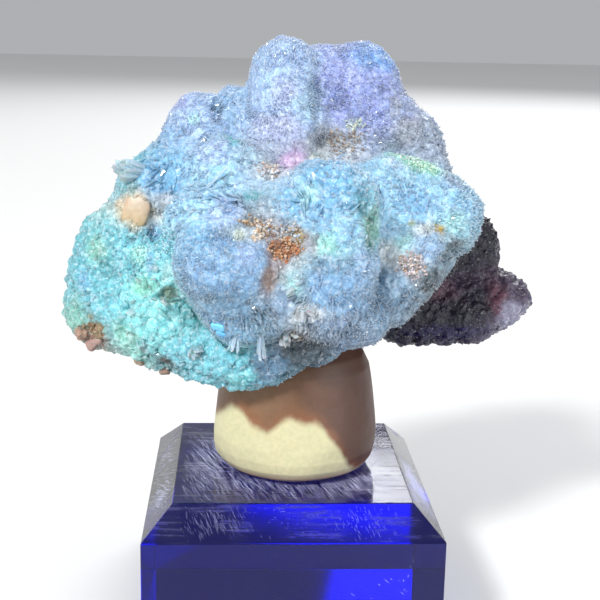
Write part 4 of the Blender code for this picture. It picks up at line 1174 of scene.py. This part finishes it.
# Smooth plates and nodules: middle and half sizes in mm (across, up, thick), how
# deep the middle lies (mm), turn in degrees, squareness (2 is round), unevenness in mm, and
# the colours at its upper and its lower edge; for most lumps the lower colour is the upper one
# a tenth darker, painted shade on their lower side
smoothLumps = {
    "tanPlate": ((-20.3, -3.3, 54.1), (1.75, 2.2, 0.50), 0.22, -16, 2.8, 0.05,
                 (194, 178, 160), (190, 166, 128)),
    "chip": ((-9.4, -17.2, 42.9), (0.85, 0.50, 0.30), 0.0, -6, 5.0, 0.04,
             (120, 208, 250), (108, 187, 225)),
    "chipFoot": ((-9.1, -17.0, 42.0), (0.60, 0.42, 0.30), 0.0, -24, 5.0, 0.04,
                 (110, 192, 240), (99, 172, 216)),
    "brownNodule": ((-25.8, -5.3, 37.2), (1.4, 0.95, 1.2), 0.9, 8, 2.1, 0.75,
                    (164, 138, 130), (147, 124, 117)),
    "brownNoduleLeft": ((-27.4, -5.0, 38.4), (1.0, 0.9, 1.0), 0.8, 0, 2.1, 0.60,
                        (160, 134, 118), (144, 120, 106)),
    "brownNoduleTop": ((-24.8, -6.0, 39.0), (1.2, 0.8, 0.9), 0.8, 0, 2.1, 0.60,
                       (140, 122, 96), (126, 109, 86)),
    "lowNodule": ((-19.5, -6.4, 35.6), (0.7, 0.6, 0.7), 0.5, 0, 2.6, 0.25,
                  (160, 138, 118), (144, 124, 106)),
    "lowNoduleRight": ((-16.5, -7.4, 34.4), (0.8, 0.6, 0.8), 0.5, 0, 2.6, 0.25,
                       (146, 122, 108), (131, 109, 97)),
    "rearNodule": ((8.5, 18.4, 43.0), (2.0, 1.5, 1.6), 1.2, 15, 2.6, 0.50,
                   (170, 142, 120), (153, 127, 108)),
}


def lumpGrid(middle, sizes, sunk, turn, power, uneven, upper, lower):
    # A ball whose distance from the middle follows a superellipse, laid flat against the
    # cluster's surface and roughened by noise
    unit, faces = ballGrid(22, 36)
    rounding = np.sum(np.abs(unit) ** power, axis=1, keepdims=True) ** (-1.0 / power)
    shape = unit * rounding * np.array(sizes)
    spot = np.array([middle])
    away = skinDistance(spot)
    out = unitRows(skinSlope(spot, away))[0]
    spot = spot - out * (away + sunk)
    flat = unitRows(np.array([np.cross([0.0, 0.0, 1.0], out)]))[0]
    rise = np.cross(out, flat)
    angle = math.radians(turn)
    axes = np.stack([flat * math.cos(angle) + rise * math.sin(angle),
                     rise * math.cos(angle) - flat * math.sin(angle), out])
    points = spot + shape @ axes
    bumps = steadyNoise(points, 0.9, noiseSeeds["lump"])
    bumps += 0.5 * steadyNoise(points, 0.4, noiseSeeds["lumpFine"])
    points += unitRows(points - spot) * (uneven * bumps)[:, None]
    # Painted shade: from the upper colour to the darker lower one along the lump's upward axis
    share = np.clip(0.5 + 0.6 * unit[:, 1:2], 0.0, 1.0)
    return points, faces, linearColour(lower) * (1 - share) + linearColour(upper) * share


def makeSmoothLumps(material):
    parts = [lumpGrid(*lump) for lump in smoothLumps.values()]
    piece, _ = joinParts("smoothLumps", parts, material, True)
    storeValues(piece, "tint", np.concatenate([part[2] for part in parts]))
    print("plates and nodules:", len(piece.data.polygons), "triangles")
    return piece


def makeGrains(material, surface):
    # Irregular eight-sided grains standing on the skin where the grain patches lie
    rng = np.random.default_rng(23)
    places, slopes = surface[:, :3], surface[:, 3:]
    shift = wander(places)
    points, tints = [], []
    for name, (count, width, colours) in grainPatches.items():
        mask = patchMask(places, shift, *colourPatches[name][:2])
        inside = np.flatnonzero(mask > rng.uniform(0.1, 0.8, len(mask)))
        if len(inside) == 0:
            continue
        chosen = rng.choice(inside, count)
        middle = places[chosen] + slopes[chosen] * rng.uniform(0.0, 0.16, count)[:, None]
        middle += rng.normal(0, 0.06, middle.shape)
        size = width * rng.uniform(0.35, 0.75, (count, 1))
        first = unitRows(rng.normal(0, 1, (count, 3)))
        second = unitRows(np.cross(first, rng.normal(0, 1, (count, 3))))
        third = np.cross(first, second)
        reach = size[:, None] * rng.uniform(0.55, 1.25, (count, 6, 1))
        ways = np.stack([first, second, third, -first, -second, -third], axis=1)
        points.append((middle[:, None] + ways * reach).reshape(-1, 3))
        tint = linearColour(np.array(colours)[rng.integers(0, len(colours), count)])
        tint = tint * rng.uniform(0.75, 1.15, (count, 1))
        tints.append(np.repeat(tint, 6, axis=0))
    points, tints = np.concatenate(points), np.concatenate(tints)
    faces = repeatFaces([[0, 1, 2], [1, 3, 2], [3, 4, 2], [4, 0, 2],
                         [1, 0, 5], [3, 1, 5], [4, 3, 5], [0, 4, 5]], len(points) // 6, 6)
    piece = makePiece("matrixGrains", points, faces, material)
    storeValues(piece, "tint", tints)
    print("grains:", len(faces), "triangles")
    return piece


# The putty: its rings (share of its height, radius in mm), its colours, and the height at which the
# cream gives way to the painted shadow that the cluster casts on it, by angle round it (degrees,
# mm), guessed behind
putty = {
    "x": 0.7, "y": 0.0, "foot": 19.35, "top": 39.0,
    "rings": ((0.0, 8.4), (0.012, 9.4), (0.04, 10.3), (0.085, 10.9), (0.15, 11.2), (0.24, 11.3),
              (0.36, 11.1), (0.48, 10.8), (0.6, 10.4), (0.71, 9.9), (0.8, 9.0), (0.87, 7.7),
              (0.93, 5.9), (0.975, 3.5), (1.0, 0.0)),
    "roughness": 0.48, "scatter": 0.12, "scatterDepth": 1.5, "bump": 0.12,
    # Painted shadow: the two shadow colours stand for the cluster's cast shadow, the right one
    # darker as painted shade away from the key light; rust is a painted penumbra along the shadow's
    # edge
    "cream": (200, 195, 156), "peach": (188, 160, 130), "shadowBrownLeft": (124, 92, 64),
    "shadowBrownRight": (78, 48, 36), "rust": (136, 86, 54),
    "edge": ((-180, 26.4), (-165, 26.8), (-158, 27.4), (-149, 28.6), (-143, 29.2), (-137, 29.0),
             (-131, 28.7), (-126, 27.6), (-120, 27.2), (-111, 26.5), (-105, 27.7), (-99, 28.6),
             (-95, 28.9), (-91, 28.2), (-86, 27.9), (-78, 28.0), (-73, 27.3), (-68, 25.9),
             (-62, 24.4), (-56, 22.6), (-50, 21.2), (-43, 20.4), (-30, 20.0), (-12, 20.2),
             (8, 21.8), (22, 23.0), (40, 25.4), (55, 25.4), (72, 27.2), (88, 26.0), (104, 27.8),
             (120, 26.9), (136, 25.2), (150, 26.6), (165, 25.6), (180, 26.4)),
}


def makePuttyMaterial():
    material, tree, shader = newMaterial("puttyLump")
    place = objectPlace(tree)
    parts = addNode(tree, "ShaderNodeSeparateXYZ", links={"Vector": place}).outputs
    wave = noiseOf(tree, place, 0.8, 4.0, 0.6)
    above = addNode(tree, "ShaderNodeMath", operation="SUBTRACT",
                    links={0: parts["Z"], 1: readValue(tree, "edge").outputs["Fac"]}).outputs[0]
    above = addNode(tree, "ShaderNodeMath", operation="MULTIPLY_ADD", values={1: 1.2 * mm},
                    links={0: wave, 2: above}).outputs[0]
    cream, peach, left, right, rust = [(*linearColour(putty[name]), 1.0) for name in
                                       ("cream", "peach", "shadowBrownLeft", "shadowBrownRight", "rust")]
    # Painted shadow: above the edge the cream gives way to the cluster's cast shadow, darker towards
    # +X as painted shade away from the key light, with an orange painted penumbra along the edge
    across = ramp(tree, parts["X"], -9.0 * mm, 10.0 * mm)
    shadowBrown = mixColours(tree, across, left, right)
    penumbra = product(tree, ramp(tree, above, 0.8 * mm, 3.4 * mm, 0.7, 0.0),
                     ramp(tree, noiseOf(tree, place, 0.25, 2.0, 0.5), 0.40, 0.62, 0.25, 1.0))
    dark = mixColours(tree, penumbra, shadowBrown, rust)
    low = mixColours(tree, ramp(tree, parts["Z"], 19.8 * mm, 21.2 * mm), peach, cream)
    colour = mixColours(tree, ramp(tree, above, -0.15 * mm, 1.35 * mm), low, dark)
    even = ramp(tree, noiseOf(tree, place, 1.6, 4.0, 0.6), 0.3, 0.7, 0.93, 1.04)
    bump = addNode(tree, "ShaderNodeBump",
                   values={"Strength": 0.3, "Distance": putty["bump"] * mm},
                   links={"Height": noiseOf(tree, place, 0.9, 5.0, 0.6)})
    fillNode(tree, shader, {
        "Roughness": putty["roughness"], "Subsurface Weight": putty["scatter"],
        "Subsurface Scale": putty["scatterDepth"] * mm,
    }, {"Base Color": timesValue(tree, colour, even), "Normal": bump.outputs["Normal"]})
    return material


def makePutty():
    # The profile carried round the axis: radius over height, drawn from the top down, with
    # two broad lobes and shallow dents by noise
    shares, radii = np.array(putty["rings"]).T
    rows, sides = 118, 180
    share = 0.5 + 0.5 * np.cos(np.linspace(0, math.pi, rows + 2)[1:-1])
    angle = np.linspace(-math.pi, math.pi, sides, endpoint=False)
    share, angle = np.meshgrid(share, angle, indexing="ij")
    radius = np.interp(share, shares, radii)
    radius += share * (0.25 * np.sin(2 * angle + 0.7) + 0.15 * np.sin(3 * angle + 2.4))
    height = putty["foot"] + (putty["top"] - putty["foot"]) * share
    points = np.stack([putty["x"] + radius * np.cos(angle), putty["y"] + radius * np.sin(angle),
                       height], axis=-1).reshape(-1, 3)
    out = np.stack([np.cos(angle), np.sin(angle), 0 * angle], axis=-1).reshape(-1, 3)
    dents = 0.20 * steadyNoise(points, 5.0, noiseSeeds["putty"])
    dents += 0.06 * steadyNoise(points, 1.8, noiseSeeds["puttyFine"])
    points += out * (dents - 0.1)[:, None]
    ends = [[putty["x"], putty["y"], putty["top"]], [putty["x"], putty["y"], putty["foot"]]]
    points = np.concatenate([points, ends])
    piece = makePiece("puttyLump", points, gridFaces(rows, sides), makePuttyMaterial(), True)
    # The height of the painted shadow's edge at each angle round the putty
    degrees, edges = np.array(putty["edge"]).T
    edge = np.interp(np.degrees(angle).ravel(), degrees, edges)
    storeValues(piece, "edge", np.concatenate([edge, [edge[0], edge[0]]]) * mm)
    print("putty:", len(piece.data.polygons), "triangles")
    return piece


# The acrylic block: sizes in mm, colour of the light that it lets through, and how much it
# swallows per metre
block = {
    "side": 38.1, "height": 19.05, "bevel": 3.8, "edge": 0.14,
    "ior": 1.49, "roughness": 0.06, "face": (0.34, 0.38, 1.0),
    "tint": (0.05, 0.06, 0.78), "density": 170.0,
    "veil": 0.9, "veilRoughness": (0.35, 0.45),    # the rubbed haze: its body's and its coat's
}


def blockMeasures():
    # Half of the side, half of the top's side, the height of the shoulder and of the top
    half = block["side"] / 2
    return half, half - block["bevel"], block["height"] - block["bevel"], block["height"]


def makeBlockMaterial():
    # Clear and blue inside; the top and the bevels are veiled by fine rubbing, mostly one way
    material, tree, shader = newMaterial("clearAcrylic")
    place = objectPlace(tree)
    turned = addNode(tree, "ShaderNodeMapping", links={"Vector": place},
                     values={"Rotation": (0, 0, math.radians(48)), "Scale": (0.10, 2.6, 1.0)})
    lines = ramp(tree, noiseOf(tree, turned.outputs["Vector"], 0.9, 5.0, 0.7), 0.48, 0.64)
    haze = ramp(tree, noiseOf(tree, place, 0.16, 3.0, 0.55), 0.36, 0.60, 0.25, 1.0)
    high = addNode(tree, "ShaderNodeSeparateXYZ", links={"Vector": place}).outputs["Z"]
    shoulder = blockMeasures()[2]
    haze = product(tree, haze, ramp(tree, high, (shoulder - 0.25) * mm, (shoulder + 0.55) * mm))
    veil = product(tree, ramp(tree, lines, 0.0, 1.0, 0.30, 1.0), haze)
    rubbed, coat = block["veilRoughness"]
    fillNode(tree, shader, {
        "Coat Roughness": coat, "Base Color": (*block["face"], 1.0),
        "Transmission Weight": 1.0, "IOR": block["ior"],
    }, {"Roughness": ramp(tree, veil, 0, 1, block["roughness"], rubbed),
        "Coat Weight": ramp(tree, veil, 0, 1, 0.0, block["veil"])})
    inside = addNode(tree, "ShaderNodeVolumeAbsorption",
                     values={"Color": (*block["tint"], 1.0), "Density": block["density"]})
    tree.links.new(inside.outputs["Volume"], tree.nodes["Material Output"].inputs["Volume"])
    return material


def makeBlock():
    # Squares of the side's width at the foot and the shoulder and one drawn in by the bevel
    # at the top, joined by walls, and every edge softened by a small bevel
    half, inner, shoulder, top = blockMeasures()
    corners = np.array([[-1, -1], [1, -1], [1, 1], [-1, 1]], float)
    levels = ((half, 0.0), (half, shoulder), (inner, top))
    points = np.concatenate([np.column_stack([corners * reach, np.full(4, z)])
                             for reach, z in levels])
    side = np.arange(4)
    after = (side + 1) % 4
    walls = [np.stack([row + side, row + after, row + 4 + after, row + 4 + side], -1)
             for row in (0, 4)]
    ends = [np.array([[3, 2, 1, 0]]), np.array([[8, 9, 10, 11]])]
    piece = makePiece("acrylicBlock", points, np.concatenate(walls + ends), makeBlockMaterial())
    soft = piece.modifiers.new("softEdges", "BEVEL")
    soft.width = block["edge"] * mm
    soft.segments = 2
    soft.limit_method = "ANGLE"
    soft.harden_normals = True
    print("block:", len(piece.data.polygons), "faces before its edges are softened")
    return piece


# Scratches on the block. rise and root are how far they lie over and under its face, in mm.
scratchLook = {"colour": (0.66, 0.68, 0.92), "roughness": 0.45, "rise": 0.012, "root": 0.004}

# Where they lie, in mm: for each face a corner, the two edges that run from it, and
# bands of scratches: how many, middle and spread over the face (0 to 1), slant in degrees,
# length and width
blockHalf, topHalf, shoulder, blockTop = blockMeasures()
bevel = block["bevel"]
scratchFaces = {
    "top": ((-topHalf, -topHalf, blockTop), (2 * topHalf, 0, 0), (0, 2 * topHalf, 0), (
        (1100, (0.42, 0.25), (0.42, 0.22), -74, 3.6, 0.035),
        (420, (0.78, 0.25), (0.20, 0.20), -72, 3.6, 0.045),
        (300, (0.14, 0.50), (0.12, 0.34), -70, 5.0, 0.045),
        (500, (0.5, 0.5), (0.5, 0.5), -76, 3.0, 0.03),
        (260, (0.86, 0.55), (0.12, 0.30), 66, 3.2, 0.04))),
    "frontBevel": ((-topHalf, -blockHalf, shoulder), (2 * topHalf, 0, 0), (0, bevel, bevel), (
        (110, (0.5, 0.6), (0.5, 0.4), 12, 0.3, 0.03),
        (170, (0.16, 0.5), (0.16, 0.4), -64, 1.4, 0.022),
        (90, (0.8, 0.5), (0.15, 0.4), -70, 1.0, 0.022))),
    "frontWall": ((-blockHalf, -blockHalf, 0.0), (2 * blockHalf, 0, 0), (0, 0, shoulder), (
        (7, (0.78, 0.55), (0.14, 0.25), -42, 0.8, 0.06),
        (14, (0.87, 0.45), (0.02, 0.40), 80, 0.4, 0.07))),
    "rightBevel": ((blockHalf, -topHalf, shoulder), (0, 2 * topHalf, 0), (-bevel, 0, bevel), (
        (500, (0.35, 0.5), (0.30, 0.45), 20, 2.4, 0.035),
        (60, (0.16, 0.8), (0.16, 0.2), 40, 1.0, 0.08))),
    "leftBevel": ((-blockHalf, topHalf, shoulder), (0, -2 * topHalf, 0), (bevel, 0, bevel), (
        (300, (0.80, 0.5), (0.18, 0.45), 24, 3.0, 0.045),
        (200, (0.30, 0.5), (0.30, 0.45), 28, 2.4, 0.035))),
    "rearBevel": ((topHalf, blockHalf, shoulder), (-2 * topHalf, 0, 0), (0, -bevel, bevel), (
        (160, (0.5, 0.5), (0.5, 0.45), 40, 1.4, 0.03),)),
    "rearWall": ((blockHalf, blockHalf, 0.0), (-2 * blockHalf, 0, 0), (0, 0, shoulder), (
        (26, (0.5, 0.5), (0.5, 0.4), 40, 1.0, 0.05),)),
}


def scratchRidges(corner, first, second, bands, rng):
    # Hairlines with a three-cornered section, sunk a little into the face
    corner, first, second = np.array(corner), np.array(first, float), np.array(second, float)
    out = unitRows(np.array([np.cross(first, second)]))
    across = first / np.linalg.norm(first)
    up = second / np.linalg.norm(second)
    parts = []
    for count, middle, spread, slant, length, width in bands:
        share = np.array(middle) + rng.normal(0, 0.5, (count, 2)) * np.array(spread)
        share = share[np.all((share > 0.03) & (share < 0.97), axis=1)]
        turn = np.radians(slant + rng.normal(0, 5, len(share)))[:, None]
        way = across * np.cos(turn) + up * np.sin(turn)
        aside = np.cross(np.tile(out, (len(share), 1)), way)
        reach = length * rng.uniform(0.3, 1.3, len(share))[:, None] * 0.5
        centre = corner + share[:, :1] * first + share[:, 1:] * second
        room = np.minimum(np.min(share, axis=1), np.min(1 - share, axis=1))[:, None]
        reach = np.minimum(reach, room * min(np.linalg.norm(first), np.linalg.norm(second)))
        half = width * rng.uniform(0.35, 1.0, len(share))[:, None] * 0.5
        root = out * scratchLook["root"]
        points = np.stack([centre - way * reach, centre + aside * half - root,
                           centre - aside * half - root, centre + out * scratchLook["rise"],
                           centre + way * reach], axis=1)
        faces = repeatFaces([[0, 3, 1], [0, 2, 3], [0, 1, 2], [4, 1, 3], [4, 3, 2], [4, 2, 1]],
                            len(share), 5)
        parts.append((points.reshape(-1, 3), faces))
    return parts


def makeScratches():
    material, tree, shader = newMaterial("scratchedAcrylic")
    fillNode(tree, shader, {"Base Color": (*scratchLook["colour"], 1.0),
                            "Roughness": scratchLook["roughness"]})
    rng = np.random.default_rng(31)
    parts = [part for face in scratchFaces.values() for part in scratchRidges(*face, rng)]
    piece, _ = joinParts("blockScratches", parts, material)
    print("scratches:", len(piece.data.polygons), "triangles")
    return piece


floorLook = {"colour": (0.78, 0.78, 0.77), "roughness": 0.6, "half": 3000.0, "low": 0.02}    # in mm


def makeFloor():
    # A square a little below the block's foot
    material, tree, shader = newMaterial("paleFloor")
    fillNode(tree, shader, {"Base Color": (*floorLook["colour"], 1.0),
                            "Roughness": floorLook["roughness"]})
    corners = np.array([[-1, -1, 0], [1, -1, 0], [1, 1, 0], [-1, 1, 0]])
    points = corners * floorLook["half"] - [0, 0, floorLook["low"]]
    floor = makePiece("paleFloor", points, np.array([[0, 1, 2, 3]]), material)


def assignPieces(pieces, node):
    for piece in pieces:
        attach(piece, "root")
        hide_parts(node)


setCamera(photoView)
lightStudio()
makeFloor()
print("camera, lights and floor are in place")

frost = frostGroup()
skins, surface = makeSkin(makeSkinMaterial(frost, streakGroup()))
needles = makeNeedles(makeNeedleMaterial(frost))
clear = makeClearCrystals(makeClearMaterial(frost))
lumps = makeSmoothLumps(makeTintedMaterial("waxyPlates", plateLook))
grains = makeGrains(makeTintedMaterial("matrixGrains", grainLook), surface)
assignPieces([*skins, *needles, clear, lumps, grains], "creedite_cluster")
assignPieces([makePutty()], "mounting_putty")
assignPieces([makeBlock(), makeScratches()], "acrylic_base")
